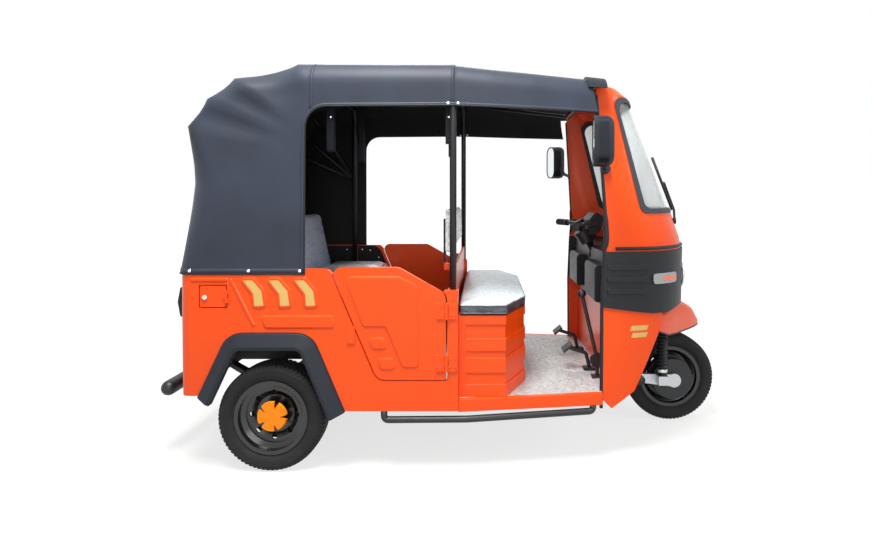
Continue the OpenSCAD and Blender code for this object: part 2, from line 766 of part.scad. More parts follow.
hood_hem = [[hood_open, 850, 0], [hood_front + 120, 850, 0], [hood_front + 120, roof_z - 244, 0],
            [post_x, roof_z - 214, 0], [hood_open, roof_z - 218, 95]];

module canopy() {
    color(fabric) {
        difference() {
            hood_solid(0);
            hood_solid(hood_t);
            tub(-0.5);
            slab([[hood_back - 60, 500], [post_x + 60, 500], [post_x + 60, hood_low], [hood_back - 60, hood_low]],
                 -half_w - 60, half_w + 60);
            slab(rounded(hood_hem), -half_w - 60, half_w + 60);
            box(post_x, post_x + 900, -half_w, half_w, 500, roof_z + 98);
        }
        difference() {
            roof_solid(0);
            roof_solid(hood_t);
            slab(rounded(hood_hem), -half_w - 60, half_w + 60);
            slab([[hood_front - 55, roof_z + 98], [hood_front, roof_z - 262], [hood_front, roof_z - 402],
                  [hood_front + 200, roof_z - 402], [hood_front + 200, roof_z + 98]],
                 -half_w - 60, half_w + 60);
        }
    }
}

// Hoop of tube across the vehicle at x, from z0 up to the roof
module hoop(x, z0, y, top, r) {
    translate([x, 0, 0]) rotate([90, 0, 90])
        swept([[-y, z0, 0], [-y, top, 95], [y, top, 95], [y, z0, 0]]) circle(r = r);
}

// Bow that swings from the rear post to a point of the roof line
module bow(tip) {
    d = tip - bow_pivot;
    out = unit(d);
    c = tip - out * (hood_t + tube_r + 8) - bow_pivot;
    translate([bow_pivot[0], 0, bow_pivot[1]])
        multmatrix([[0, out[0], out[1], 0], [1, 0, 0, 0], [0, out[1], -out[0], 0], [0, 0, 0, 1]])
            swept([[-hoop_y, 0, 0], [-hoop_y, norm(c), 95], [hoop_y, norm(c), 95], [hoop_y, 0, 0]])
                circle(r = tube_r - 5);
}

module main_hoop() {
    color(black) hoop(bow_main[0], deck_z, main_hoop_y, hoop_top - 6, tube_r);
}

module middle_hoop() {
    color(black) hoop(post_x, post_top_z, hoop_y, hoop_top, tube_r);
}

module hood_bows() {
    color(black) difference() {
        for (tip = [bow_2, bow_3, bow_4]) bow(tip);
        hoop(bow_main[0], deck_z, main_hoop_y, hoop_top - 6, tube_r + play);
    }
}

module roof_rails() {
    rail_front_z = roof_z - 112;
    color(black) difference() {
        union() {
            both_sides() {
                rod([bow_main[0], -430, hoop_top - 6], [post_x, -430, hoop_top], tube_r - 4);
                rod([post_x, -430, hoop_top], [pillar_x - 18, -400, rail_front_z], tube_r - 4);
            }
            y_rod(pillar_x - 20, rail_front_z, tube_r - 2, -430, 430);
        }
        hoop(bow_main[0], deck_z, main_hoop_y, hoop_top - 6, tube_r + play);
        hoop(post_x, post_top_z, hoop_y, hoop_top, tube_r + play);
    }
}

// Moulded cap over the front edge of the hood
module roof_visor() {
    color(grey) intersection() {
        difference() {
            roof_solid(-14);
            roof_solid(-0.5);
        }
        slab(rounded([[hood_front - 55, roof_z - 114, 0], [hood_front + 38, roof_z - 114, 0],
                      [hood_front + 38, roof_z - 54, 22], [hood_front - 20, roof_z - 2, 30],
                      [hood_front - 55, roof_z - 2, 0]]), -half_w, half_w);
    }
}

module cowl_upper() {
    color(orange) difference() {
        intersection() {
            cowl_skin(0, cowl_t);
            box(pillar_x - 200, front_x + 200, -700, 700, band_top, roof_z + 98);
        }
        slab(screen_outline(0), -700, 700);
    }
}

module windscreen_seal() {
    color(black) intersection() {
        cowl_skin(-5, cowl_t - 2);
        difference() {
            slab(screen_outline(0.05), -700, 700);
            slab(screen_outline(24), -701, 701);
        }
    }
}

module windscreen() {
    color([0.75, 0.82, 0.85]) intersection() {
        cowl_skin(2, 8);
        slab(screen_outline(24.05), -700, 700);
    }
}

module cowl_lower() {
    color(orange) intersection() {
        cowl_skin(0, cowl_t);
        slab([[pillar_x, 292], [front_x - 438, 242], [front_x - 324, 325], [front_x - 176, 640],
              [front_x - 176, band_z(front_x - 176) - 0.3], [front_x - 228, band_z(front_x - 228) - 0.3],
              [pillar_x, band_z(pillar_x) - 0.3]], -700, 700);
    }
}

lamp_y = 232;
lamp_z = 862;
lamp_r = 72;
// Ribbed black band round the nose
module nose_band() {
    color(black) {
        difference() {
            intersection() {
                cowl_skin(-8, cowl_t);
                slab(concat(band_low, [[front_x + 120, band_top], [pillar_x - 5, band_top]]), -700, 700);
            }
            both_sides() translate([front_x - 250, -lamp_y, lamp_z]) rotate([0, 90, 0])
                cylinder(r = lamp_r + 0.5, h = 500);
        }
        intersection() {
            cowl_skin(-16, -7);
            union() for (z = [800, 858, 916])
                slab(rounded([[pillar_x + 24, z, 11], [front_x - 252, z, 11], [front_x - 266, z + 26, 11],
                              [pillar_x + 24, z + 26, 11]]), -700, 700);
        }
    }
}

module head_lamps() {
    color([0.9, 0.92, 0.95]) both_sides() translate([front_x - 102, -lamp_y, lamp_z]) rotate([0, 90, 0]) {
        cylinder(r = lamp_r, h = 88);
        intersection() {
            translate([0, 0, 88 - 150]) sphere(r = 166);
            translate([0, 0, 87]) cylinder(r = lamp_r, h = 40);
        }
    }
}

module turn_lamps() {
    color([0.95, 0.6, 0.15]) intersection() {
        cowl_skin(-17, -8);
        slab(rounded([[front_x - 233, 844, 14], [front_x - 92, 844, 14], [front_x - 92, 894, 14],
                      [front_x - 233, 894, 14]]), -700, 700);
    }
}

// Pointed guard over the front wheel: distance from the axle, half width, top, lower edge
guard_rows = [[-176, 425, 699, 590], [-108, 362, 699, 560], [-38, 275, 699, 548], [42, 188, 690, 545],
              [112, 116, 648, 545], [156, 62, 580, 548]];
function guard_section(row, inset, reach) =
    let (m = 10, w = row[1] - inset, h = row[2] - row[3] - inset + (inset > 0 ? 20 : 0), z0 = row[3] - (inset > 0 ? 20 : 0))
    [for (i = [0 : 2 * m]) let (t = 180 * i / (2 * m), c = cos(t))
        [front_x + row[0] + reach, (c < 0 ? -1 : 1) * w * pow(abs(c), 0.4), z0 + h * pow(sin(t), 0.4)]];

// Shell with two brackets that stand up behind the band
module mudguard() {
    last = len(guard_rows) - 1;
    color(orange) {
        difference() {
            loft([for (row = guard_rows) guard_section(row, 0, 0)]);
            loft([for (i = [0 : last]) guard_section(guard_rows[i], 12, i == 0 ? -5 : i == last ? -12 : 0)]);
        }
        intersection() {
            cowl_solid(cowl_t + 0.1);
            both_sides() box(front_x - 60, front_x + 40, -150, -110, guard_rows[2][2] - 8, band_low[3][1] + 50);
        }
    }
}

module wiper() {
    foot = cowl_point(1140, 66, 12);
    elbow = cowl_point(1200, 66, 22);
    tip = cowl_point(1340, 64, 24);
    color(black) {
        difference() {
            pipe([cowl_point(1140, 66, -6), foot], 16);
            cowl_solid(0);
        }
        difference() {
            union() {
                pipe([foot + [-6, 2, -4], elbow, tip, cowl_point(1344, 62, 14)], 6);
                pipe([cowl_point(1200, 62, 13), cowl_point(1475, 62, 13)], 7);
            }
            cowl_solid(-5.2);
        }
    }
}

// Door mirrors on stalks from the front pillars
module mirrors() {
    head = [bar_x - 30, 1513];
    color(black) both_sides() {
        difference() {
            union() {
                pipe(bend_path([[pillar_x + 22, -half_w + 150, 1400], [pillar_x - 10, -half_w + 40, 1420],
                                [head[0], -half_w - 50, 1470]], 40), 10);
                pipe([[pillar_x + 22, -half_w + 150, 1400], [pillar_x + 18, -half_w + 110, 1404]], 24);
            }
            cowl_solid(-0.5);
        }
        translate([head[0] - 34, -half_w - 104, head[1]]) rotate([90, 0, 90]) {
            linear_extrude(height = 46) polygon(rounded([[-66, -112, 55], [66, -112, 55], [66, 112, 55], [-66, 112, 55]]));
            linear_extrude(height = 70) polygon(rounded([[-46, -90, 45], [46, -90, 45], [46, 90, 45], [-46, 90, 45]]));
        }
    }
}

// Fascia, top tray and two boxes under the handlebar
fascia_x = front_x - 443;
module dashboard() {
    color(black) difference() {
        union() {
            intersection() {
                cowl_solid(cowl_t + 0.5);
                slab([[fascia_x, dash_z], [bulk_x + bulk_t, dash_z], [bulk_x + bulk_t, dash_z + 15],
                      [fascia_x + 20, dash_z + 15], [fascia_x + 20, 962], [front_x + 60, 1006],
                      [front_x + 60, 1030], [fascia_x, 985]], -600, 600);
            }
            both_sides() slab(rounded([[fascia_x - 55, 735, 14], [fascia_x + 1, 735, 0],
                                       [fascia_x + 1, 922, 0], [fascia_x - 55, 922, 24]]), -400, -130);
        }
        rod(axis_at(1150), axis_at(760), column_r + 14);
    }
}

// Toe board between the front side walls
module bulkhead() {
    color(orange) intersection() {
        cowl_solid(cowl_t + 0.5);
        box(bulk_x, bulk_x + bulk_t, -600, 600, floor_z, dash_z);
    }
}

// Foot levers and the hand lever, standing on the floor
module pedals() {
    color(black) {
        for (y = [-190, 190]) {
            box(bulk_x - 90, bulk_x - 20, y - 25, y + 25, floor_z, floor_z + 14);
            pipe(bend_path([[bulk_x - 55, y, floor_z + 8], [bulk_x - 75, y, floor_z + 90],
                            [bulk_x - 172, y, floor_z + 120]], 20), 10);
            translate([bulk_x - 178, y, floor_z + 122]) rotate([0, -40, 0])
                translate([-30, -40, -6]) cube([60, 80, 12]);
        }
        box(bulk_x - 70, bulk_x - 6, -340, -300, floor_z, floor_z + 12);
        pipe(bend_path([[bulk_x - 40, -320, floor_z + 6], [bulk_x - 40, -320, floor_z + 90],
                        [bulk_x - 120, -320, 766]], 60), 10);
        y_rod(bulk_x - 40, floor_z + 90, 38, -330, -310);
        translate([bulk_x - 120, -320, 765]) sphere(r = 22);
    }
}

module side_steps() {
    a = [post_back - 293, -half_w + panel_t / 2, step_z];
    b = [post_front + 640, -floor_front_half_w - 14, step_z + 9];
    color(black) both_sides()
        pipe(bend_path([[a[0], a[1], rocker_z], a, [post_front + 40, a[1], step_z + 3], b, [b[0], b[1], sill_low_z]],
                       20), step_r);
}

// Flares round the rear wheel openings: offset from the arch line and height off the panel
flare_profile = [[-36, 0], [40, 0], [34, 14], [-20, flare_out], [-36, flare_out - 5]];
module arch_flares() {
    path = bent_path(arch_rows);
    color(grey) both_sides() loft([for (i = [0 : len(path) - 1]) let (n = path_normal(path, i))
        [for (q = flare_profile) let (p = path[i] + n * q[0]) [p[0], -half_w - q[1], p[1]]]]);
}

// Rear axle with differential, brake plates and the propeller shaft
module rear_axle() {
    yw = rear_track / 2;
    hub_in = yw - 62;
    color(black) {
        y_rod(rear_x, tyre_r, 36, -hub_in, hub_in);
        y_rod(rear_x, tyre_r, axle_r, -yw - 30, yw + 30);
        both_sides() y_rod(rear_x, tyre_r, 108, -hub_in, -hub_in + 14);
        y_rod(rear_x, tyre_r, 105, -60, 60);
        rod([rear_x, 0, tyre_r], [post_front + 45, 0, tyre_r], 20);
    }
}

// Leaf springs: eyes under the rails, middle on the axle
module leaf_springs() {
    mid = tyre_r + 36.3;
    eye_z = rail_up - 18.3;
    x0 = rear_x - 330;
    x1 = rear_x + 175;
    function leaf(k) = [for (i = [0 : 12]) let (s = i / 12, x = x0 + (x1 - x0) * s,
        u = x < rear_x ? (rear_x - x) / (rear_x - x0) : (x - rear_x) / (x1 - rear_x))
        [x, mid + k + (eye_z - mid - 18) * u * u]];
    color(black) both_sides() {
        slab(concat(leaf(0), [for (i = [12 : -1 : 0]) leaf(26)[i]]), -rail_gap / 2 - 25, -rail_gap / 2 + 25);
        for (x = [x0, x1]) y_rod(x, eye_z, 18, -rail_gap / 2 - 25, -rail_gap / 2 + 25);
    }
}

module exhaust() {
    color(grey) {
        rod([post_front - 420, 215, 232], [post_front - 130, 215, 232], 45);
        difference() {
            pipe(bend_path([[post_front - 140, 215, 232], [post_front - 40, 215, 240],
                            [post_front + 60, 150, 250]], 40), 18);
            box(post_front + 45, post_front + 300, -165, 165, 195, 430);
        }
        pipe([[post_front - 410, 215, 232], [post_front - 480, 215, 215]], 18);
    }
}

// Frame whose Z runs down the steering axis from the middle of the handlebar
module on_axis() {
    translate([bar_x, 0, bar_z]) rotate([0, 180 - rake, 0]) children();
}

module handlebar() {
    w = handlebar_w / 2;
    half = [for (p = bent_path([[0, -60, 0], [0, -w + 190, 60], [-40, -w + 102, 0]])) p];
    line = concat([[-85, -w], [-84.6, -w + 1], [-40, -w + 100.6]], [for (i = [len(half) - 1 : -1 : 0]) half[i]]);
    radii = concat([14, 18, 18], [for (i = [0 : len(half) - 1]) 12]);
    both = concat(line, [for (i = [len(line) - 1 : -1 : 0]) [line[i][0], -line[i][1]]]);
    both_radii = concat(radii, [for (i = [len(radii) - 1 : -1 : 0]) radii[i]]);
    color(black) {
        on_axis() translate([0, 0, -26]) cylinder(r = 28, h = 52);
        translate([bar_x, 0, bar_z]) loft([for (i = [0 : len(both) - 1]) let (n = -path_normal(both, i))
            [for (k = [0 : 15]) let (a = -22.5 * k, c = n * both_radii[i] * cos(a))
                [both[i][0] + c[0], both[i][1] + c[1], both_radii[i] * sin(a)]]]);
        both_sides() {
            translate([bar_x - 20, -w + 122, bar_z - 20]) cube([44, 30, 40]);
            slab(rounded([[bar_x + 14, bar_z - 7, 0], [bar_x + 44, bar_z - 7, 4], [bar_x + 44, bar_z + 7, 4],
                          [bar_x + 14, bar_z + 7, 0]]), -w + 126, -w + 138);
            translate([bar_x, 0, bar_z - 5]) linear_extrude(height = 10)
                polygon([[30, -w + 136], [44, -w + 128], [-22, -w - 4], [-34, -w - 2], [-34, -w + 6]]);
        }
    }
}

// Shroud under the handlebar with the instrument pod in front of it
module steering_head() {
    color(black) difference() {
        union() {
            on_axis() translate([0, 0, 34]) cylinder(r1 = 62, r2 = 50, h = 74);
            slab(rounded([[bar_x + 32, bar_z - 58, 6], [bar_x + 92, bar_z - 40, 18], [bar_x + 118, bar_z + 44, 24],
                          [bar_x + 70, bar_z + 74, 18], [bar_x + 32, bar_z + 30, 10]]), -95, 95);
        }
        on_axis() cylinder(r = column_r + 0.4, h = 300);
        on_axis() translate([0, 0, -60]) cylinder(r = 29, h = 92);
    }
}

// Column, crown and the one-sided fork leg with the upper shock bracket
module steering_fork() {
    crown = axis_at(548);
    color(black) {
        on_axis() translate([0, 0, 26]) cylinder(r = column_r, h = (bar_z - 548) / cos(rake) - 26);
        pipe(bend_path([crown + [0, 10, 0], crown + [0, -lug_y, 0], [front_x - 226, -lug_y, 400],
                        [pivot[0], -lug_y, pivot[1]]], 34), 18);
        y_rod(pivot[0], pivot[1], 28, -lug_y - 24, -link_y0 - link_t);
        pipe([crown + [6, -lug_y + 34, -2], [shock_x, -lug_y - 6, 548]], 11);
        box(shock_x - 28, shock_x + 28, -lug_y - 36, -lug_y + 22, 540, 560);
    }
}

// Leading arm from the fork pivot to the axle
module front_link() {
    y0 = -link_y0 - link_t;
    y1 = -link_y0;
    color(silver) {
        y_rod(pivot[0], pivot[1], 27, y0, y1);
        y_rod(front_x, tyre_r, 38, y0, y1);
        slab([[pivot[0], pivot[1] + 24], [pivot[0], pivot[1] - 24], [front_x, tyre_r - 34],
              [front_x, tyre_r + 34]], y0, y1);
        box(shock_x - 28, shock_x + 28, -lug_y - 36, y1, 238, 288);
    }
}

module front_shock() {
    color(black) translate([shock_x, -lug_y - 6, 0]) {
        translate([0, 0, 288]) cylinder(r = 13, h = 248);
        translate([0, 0, 306]) cylinder(r = 27, h = 20);
        translate([0, 0, 325]) cylinder(r = 22, h = 150);
        translate([0, 0, 474]) cylinder(r = 27, h = 48);
    }
}

// Brake plate and stub axle of the front wheel
module front_brake() {
    color(silver) {
        y_rod(front_x, tyre_r, 112, -link_y0, -link_y0 + 16);
        y_rod(front_x, tyre_r, axle_r, -link_y0 + 15, 30);
    }
}

bead_r = rim_d / 2 - 13;
hub_face = 34;
// Wheel parts lie about the Z axis with their outer face up
module tyre() {
    w = tyre_w / 2;
    rotate_extrude($fn = 96) polygon(rounded([
        [bead_r + play, -w + 17.3, 3], [bead_r + play, w - 17.3, 3], [rim_d / 2 + 3, w - 17.3, 3],
        [bead_r + 50, w, 14], [tyre_r - 18, w - 4, 10], [tyre_r - 2, w - 18, 8], [tyre_r, 0, 0],
        [tyre_r - 2, -w + 18, 8], [tyre_r - 18, -w + 4, 10], [bead_r + 50, -w, 14],
        [rim_d / 2 + 3, -w + 17.3, 3]], 4));
}

// Pressed steel wheel: well, flanges, dished disc with slots, hub with its bore
module rim() {
    w = tyre_w / 2 - 17;
    difference() {
        rotate_extrude($fn = 96) {
            polygon([[bead_r - 5, -w - 6], [rim_d / 2, -w - 6], [rim_d / 2, -w - 0.5], [bead_r, -w - 0.5],
                     [bead_r, -24], [bead_r - 22, -14], [bead_r - 22, 14], [bead_r, 24], [bead_r, w + 0.5],
                     [rim_d / 2, w + 0.5], [rim_d / 2, w + 6], [bead_r - 5, w + 6], [bead_r - 5, 27],
                     [bead_r - 27, 17], [bead_r - 27, -17], [bead_r - 5, -27]]);
            polygon([[axle_r + play, -56], [48, -56], [56, -12], [92, -12], [114, 4], [bead_r - 26, 4],
                     [bead_r - 26, 12], [112, 12], [88, -4], [50, -4], [50, hub_face],
                     [axle_r + play, hub_face]]);
        }
        for (k = [0 : 7]) rotate([0, 0, 45 * k]) translate([104, 0, -30]) cylinder(r = 13, h = 60);
    }
}

module wheel_at(x, y, flip) {
    translate([x, y, tyre_r]) rotate([flip ? 90 : -90, 0, 0]) children();
}

module front_tyre() {
    color(black) wheel_at(front_x, 0, false) tyre();
}

module front_rim() {
    color(black) wheel_at(front_x, 0, false) rim();
}

module rear_tyre_right() {
    color(black) wheel_at(rear_x, -rear_track / 2, true) tyre();
}

module rear_rim_right() {
    color(black) wheel_at(rear_x, -rear_track / 2, true) rim();
}

module rear_tyre_left() {
    color(black) wheel_at(rear_x, rear_track / 2, false) tyre();
}

module rear_rim_left() {
    color(black) wheel_at(rear_x, rear_track / 2, false) rim();
}

// Five-bladed cap over the hub
module hub_cap() {
    seat = hub_face + play;
    difference() {
        translate([0, 0, seat]) cylinder(r1 = cap_r, r2 = cap_r - 5, h = 12);
        for (k = [0 : 4]) rotate([0, 0, 72 * k]) translate([0, 0, seat - 1]) linear_extrude(height = 14)
            polygon([[cap_r / 2, 0], [cap_r + 6, -13], [cap_r + 6, 13]]);
        translate([0, 0, seat - 1]) cylinder(r = axle_r + 2, h = 8);
    }
}

module hub_cap_right() {
    color(orange) wheel_at(rear_x, -rear_track / 2, true) hub_cap();
}

module hub_cap_left() {
    color(orange) wheel_at(rear_x, rear_track / 2, false) hub_cap();
}

chassis_frame();
floor_pan();
sills();
quarter_right();
quarter_left();
rear_panel();
tail_lamps();
rear_bumper();
seat_deck();
passenger_cushion();
passenger_backrest();
seat_box();
engine();
driver_cushion();
driver_backrest();
partition();
main_hoop();
middle_hoop();
hood_bows();
roof_rails();
canopy();
roof_visor();
cowl_upper();
cowl_lower();
nose_band();
mudguard();
windscreen();
windscreen_seal();
head_lamps();
turn_lamps();
wiper();
mirrors();
dashboard();
bulkhead();
pedals();
side_steps();
arch_flares();
rear_axle();
leaf_springs();
exhaust();
fuel_flap();
door_right();
door_left();
handlebar();
steering_head();
steering_fork();
front_link();
front_shock();
front_brake();
front_tyre();
front_rim();
rear_tyre_right();
rear_rim_right();
rear_tyre_left();
rear_rim_left();
hub_cap_right();
hub_cap_left();
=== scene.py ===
import math

import bmesh
import bpy
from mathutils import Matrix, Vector, noise
from mathutils.bvhtree import BVHTree


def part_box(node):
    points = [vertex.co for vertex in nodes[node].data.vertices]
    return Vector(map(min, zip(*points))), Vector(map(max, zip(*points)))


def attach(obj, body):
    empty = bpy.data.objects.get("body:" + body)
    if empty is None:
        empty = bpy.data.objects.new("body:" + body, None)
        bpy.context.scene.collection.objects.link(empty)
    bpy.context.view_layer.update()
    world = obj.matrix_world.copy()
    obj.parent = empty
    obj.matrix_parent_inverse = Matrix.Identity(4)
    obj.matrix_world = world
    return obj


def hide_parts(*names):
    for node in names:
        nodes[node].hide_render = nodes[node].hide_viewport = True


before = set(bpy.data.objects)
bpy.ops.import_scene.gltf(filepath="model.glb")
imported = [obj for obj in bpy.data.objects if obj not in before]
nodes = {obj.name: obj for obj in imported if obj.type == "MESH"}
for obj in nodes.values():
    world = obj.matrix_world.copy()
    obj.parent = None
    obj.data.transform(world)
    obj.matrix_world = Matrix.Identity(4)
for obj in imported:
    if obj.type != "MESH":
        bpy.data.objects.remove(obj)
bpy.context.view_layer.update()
scene = bpy.context.scene
print("frame loaded,", len(nodes), "nodes")

# Camera at the photograph's place: level, square to the right side, shifted instead of turned
cameraSizes = {"place": (0.139, -3.120, 1.265), "lens": 22.23, "sensor": 36.0, "shift": (-0.0567, -0.0821),
               "clipEnd": 60}
cameraData = bpy.data.cameras.new("sideCamera")
cameraData.lens = cameraSizes["lens"]
cameraData.sensor_width = cameraSizes["sensor"]
cameraData.shift_x, cameraData.shift_y = cameraSizes["shift"]
cameraData.clip_end = cameraSizes["clipEnd"]
sideCamera = bpy.data.objects.new("sideCamera", cameraData)
sideCamera.location = cameraSizes["place"]
sideCamera.rotation_euler = (math.radians(90), 0, 0)
scene.collection.objects.link(sideCamera)
scene.camera = sideCamera


def linear(hexText):  # sRGB hex to linear RGBA
    channels = [int(hexText[i:i + 2], 16) / 255 for i in (1, 3, 5)]
    return [c / 12.92 if c <= 0.04045 else ((c + 0.055) / 1.055) ** 2.4 for c in channels] + [1.0]


def addNode(tree, kind, links=None, **settings):  # links holds sockets to join or plain values to set
    node = tree.nodes.new(kind)
    for name, value in settings.items():
        setattr(node, name, value)
    for socket, source in (links or {}).items():
        if isinstance(source, bpy.types.NodeSocket):
            tree.links.new(source, node.inputs[socket])
        else:
            node.inputs[socket].default_value = source
    return node


def newFinish(name, colour, roughness, **sockets):  # a material with constants set on the shader itself
    finish = bpy.data.materials.new(name)
    finish.use_nodes = True
    tree = finish.node_tree
    shader = tree.nodes["Principled BSDF"]
    shader.inputs["Base Color"].default_value = linear(colour)
    shader.inputs["Roughness"].default_value = roughness
    for label, value in sockets.items():
        shader.inputs[label.replace("_", " ")].default_value = value
    place = addNode(tree, "ShaderNodeTexCoord").outputs["Object"]
    return finish, tree, shader, place


def perMetre(sizeMm):  # texture scale that gives a pattern of this size
    return 1000 / sizeMm


# Finishes
def cloudyFinish(name, colour, roughness, tone=None, bump=None, rough=None, **sockets):
    finish, tree, shader, place = newFinish(name, colour, roughness, **sockets)
    for socket, layer in (("Base Color", tone), ("Normal", bump), ("Roughness", rough)):
        if layer:
            sizeMm, detail, low, high = layer  # two colours, strength and depth in m, or two roughnesses
            cloud = addNode(tree, "ShaderNodeTexNoise", {"Vector": place, "Scale": perMetre(sizeMm),
                                                         "Detail": detail}).outputs["Fac"]
            if layer is tone:
                shaped = addNode(tree, "ShaderNodeValToRGB", {"Fac": cloud})
                for element, hexText in zip(shaped.color_ramp.elements, (low, high)):
                    element.color = linear(hexText)
            elif layer is bump:
                shaped = addNode(tree, "ShaderNodeBump", {"Height": cloud, "Strength": low, "Distance": high})
            else:
                shaped = addNode(tree, "ShaderNodeMapRange", {"Value": cloud, "To Min": low, "To Max": high})
            tree.links.new(shaped.outputs[0], shader.inputs[socket])
    return finish


def orangeEnamel():  # two-pack enamel sprayed on pressed steel: clear gloss, faint orange peel, slight fading
    return cloudyFinish("orangeEnamel", "#F9540C", 0.34, tone=(420, 3.0, "#F44B07", "#FA540C"),
                        bump=(9, 2.0, 0.05, 0.002), Specular_IOR_Level=0.3, Coat_Weight=0.12,
                        Coat_Roughness=0.10)


def blackPowderCoat():  # baked powder on steel tube: satin, pebbled at 0.5 mm, drawn at 2 mm to show
    return cloudyFinish("blackPowderCoat", "#15171A", 0.42, bump=(2, 1.0, 0.12, 0.001),
                        rough=(60, 4.0, 0.34, 0.52))


def glossWheelEnamel():  # black enamel dipped on pressed wheels: deep gloss with dull dusty patches
    return cloudyFinish("glossWheelEnamel", "#0E0F11", 0.24, rough=(35, 6.0, 0.16, 0.42), Coat_Weight=0.4,
                        Coat_Roughness=0.12)


def hotDipFloorPlate():  # galvanised chequer plate: grey zinc spangle, scuffed brighter where feet rub
    finish, tree, shader, place = newFinish("hotDipFloorPlate", "#D2D2CE", 0.46, Metallic=0.2)
    spangle = addNode(tree, "ShaderNodeTexVoronoi", {"Vector": place, "Scale": perMetre(14)})
    scuff = addNode(tree, "ShaderNodeTexNoise", {"Vector": place, "Scale": perMetre(90), "Detail": 6.0})
    blend = addNode(tree, "ShaderNodeMath", {0: spangle.outputs["Color"], 1: scuff.outputs["Fac"]},
                    operation="MULTIPLY")
    tone = addNode(tree, "ShaderNodeValToRGB", {"Fac": blend.outputs["Value"]})
    tone.color_ramp.elements[0].color = linear("#9FA1A0")
    tone.color_ramp.elements[1].position = 0.6
    tone.color_ramp.elements[1].color = linear("#D0D2D1")
    tree.links.new(tone.outputs["Color"], shader.inputs["Base Color"])
    rough = addNode(tree, "ShaderNodeMapRange", {"Value": scuff.outputs["Fac"], "To Min": 0.34,
                                                 "To Max": 0.6})
    tree.links.new(rough.outputs["Result"], shader.inputs["Roughness"])
    return finish


def coatedHoodCloth():  # PVC-coated polyester: grey bloom over a 1 mm leather grain, drawn at 3 mm to show
    finish, tree, shader, place = newFinish("coatedHoodCloth", "#34383F", 0.52, Specular_IOR_Level=0.3,
                                            Sheen_Weight=0.06, Sheen_Roughness=0.4)
    bloom = addNode(tree, "ShaderNodeTexNoise", {"Vector": place, "Scale": perMetre(260), "Detail": 5.0})
    tone = addNode(tree, "ShaderNodeValToRGB", {"Fac": bloom.outputs["Fac"]})
    tone.color_ramp.elements[0].position = 0.3
    tone.color_ramp.elements[0].color = linear("#2A2F3A")
    tone.color_ramp.elements[1].position = 0.72
    tone.color_ramp.elements[1].color = linear("#333A48")
    tree.links.new(tone.outputs["Color"], shader.inputs["Base Color"])
    grain = addNode(tree, "ShaderNodeTexVoronoi", {"Vector": place, "Scale": perMetre(3)},
                    feature="SMOOTH_F1")
    crease = addNode(tree, "ShaderNodeTexNoise", {"Vector": place, "Scale": perMetre(70), "Detail": 4.0})
    fine = addNode(tree, "ShaderNodeBump", {"Height": grain.outputs["Distance"], "Strength": 0.10,
                                            "Distance": 0.001})
    broad = addNode(tree, "ShaderNodeBump", {"Height": crease.outputs["Fac"], "Strength": 0.16,
                                             "Distance": 0.006, "Normal": fine.outputs["Normal"]})
    tree.links.new(broad.outputs["Normal"], shader.inputs["Normal"])
    return finish


def hoodLining():  # black uncoated backing of the hood cloth: matt, woven at 2 mm
    finish, tree, shader, place = newFinish("hoodLining", "#0B0C10", 0.82, Sheen_Weight=0.05)
    weave = addNode(tree, "ShaderNodeTexChecker", {"Vector": place, "Scale": perMetre(2)})
    bump = addNode(tree, "ShaderNodeBump", {"Height": weave.outputs["Fac"], "Strength": 0.10,
                                            "Distance": 0.0008})
    tree.links.new(bump.outputs["Normal"], shader.inputs["Normal"])
    return finish


# Vinyl under loose packing film: crinkled, with pale streaks along the pull of the film; the pale streaks are
# painted glints of light on its folds
def wrappedFinish(name, under, over, gloss, pull=(1.0, 0.45, 1.6)):
    finish, tree, shader, place = newFinish(name, under, 0.34, Coat_Weight=gloss, Coat_Roughness=0.10)
    pulled = addNode(tree, "ShaderNodeMapping", {"Vector": place, "Scale": pull})
    crinkle = addNode(tree, "ShaderNodeTexNoise", {"Vector": pulled.outputs["Vector"], "Scale": perMetre(48),
                                                   "Detail": 7.0, "Roughness": 0.62, "Distortion": 1.4})
    ridge = addNode(tree, "ShaderNodeMath", {0: crinkle.outputs["Fac"], 1: 0.5}, operation="SUBTRACT")
    fold = addNode(tree, "ShaderNodeMath", {0: ridge.outputs["Value"]}, operation="ABSOLUTE")
    tone = addNode(tree, "ShaderNodeValToRGB", {"Fac": fold.outputs["Value"]})
    # the pale colour on the folds is a painted glint of light, not a colour of the film
    tone.color_ramp.elements[0].color = linear(over)
    tone.color_ramp.elements[1].position = 0.10
    tone.color_ramp.elements[1].color = linear(under)
    tree.links.new(tone.outputs["Color"], shader.inputs["Base Color"])
    bump = addNode(tree, "ShaderNodeBump", {"Height": fold.outputs["Value"], "Strength": 0.45,
                                            "Distance": 0.004})
    tree.links.new(bump.outputs["Normal"], shader.inputs["Normal"])
    return finish


def mouldedPlastic(name, colour, roughness, grainMm):  # injection-moulded polypropylene, spark-eroded grain
    return cloudyFinish(name, colour, roughness, bump=(grainMm, 2.0, 0.14, 0.001),
                        rough=(120, 5.0, roughness - 0.07, roughness + 0.10), Specular_IOR_Level=0.3)


def tyreRubber():  # vulcanised black rubber: matt, greyer where dust settles
    return cloudyFinish("tyreRubber", "#1B1B1C", 0.78, tone=(55, 6.0, "#141415", "#2A2A2B"),
                        bump=(2.5, 2.0, 0.12, 0.0008), Specular_IOR_Level=0.3)


def sandCastAlloy(name, colour, roughness):  # aluminium cast in sand: bright but pitted at a few millimetres
    return cloudyFinish(name, colour, roughness, bump=(4, 5.0, 0.2, 0.001), Metallic=1.0)


def floatGlass(name, colour):  # clear laminated glass: smooth; its pale base colour over a third of the surface is a painted reflection of the sky
    return cloudyFinish(name, colour, 0.03, bump=(300, 1.0, 0.02, 0.004), IOR=1.45, Alpha=0.34)


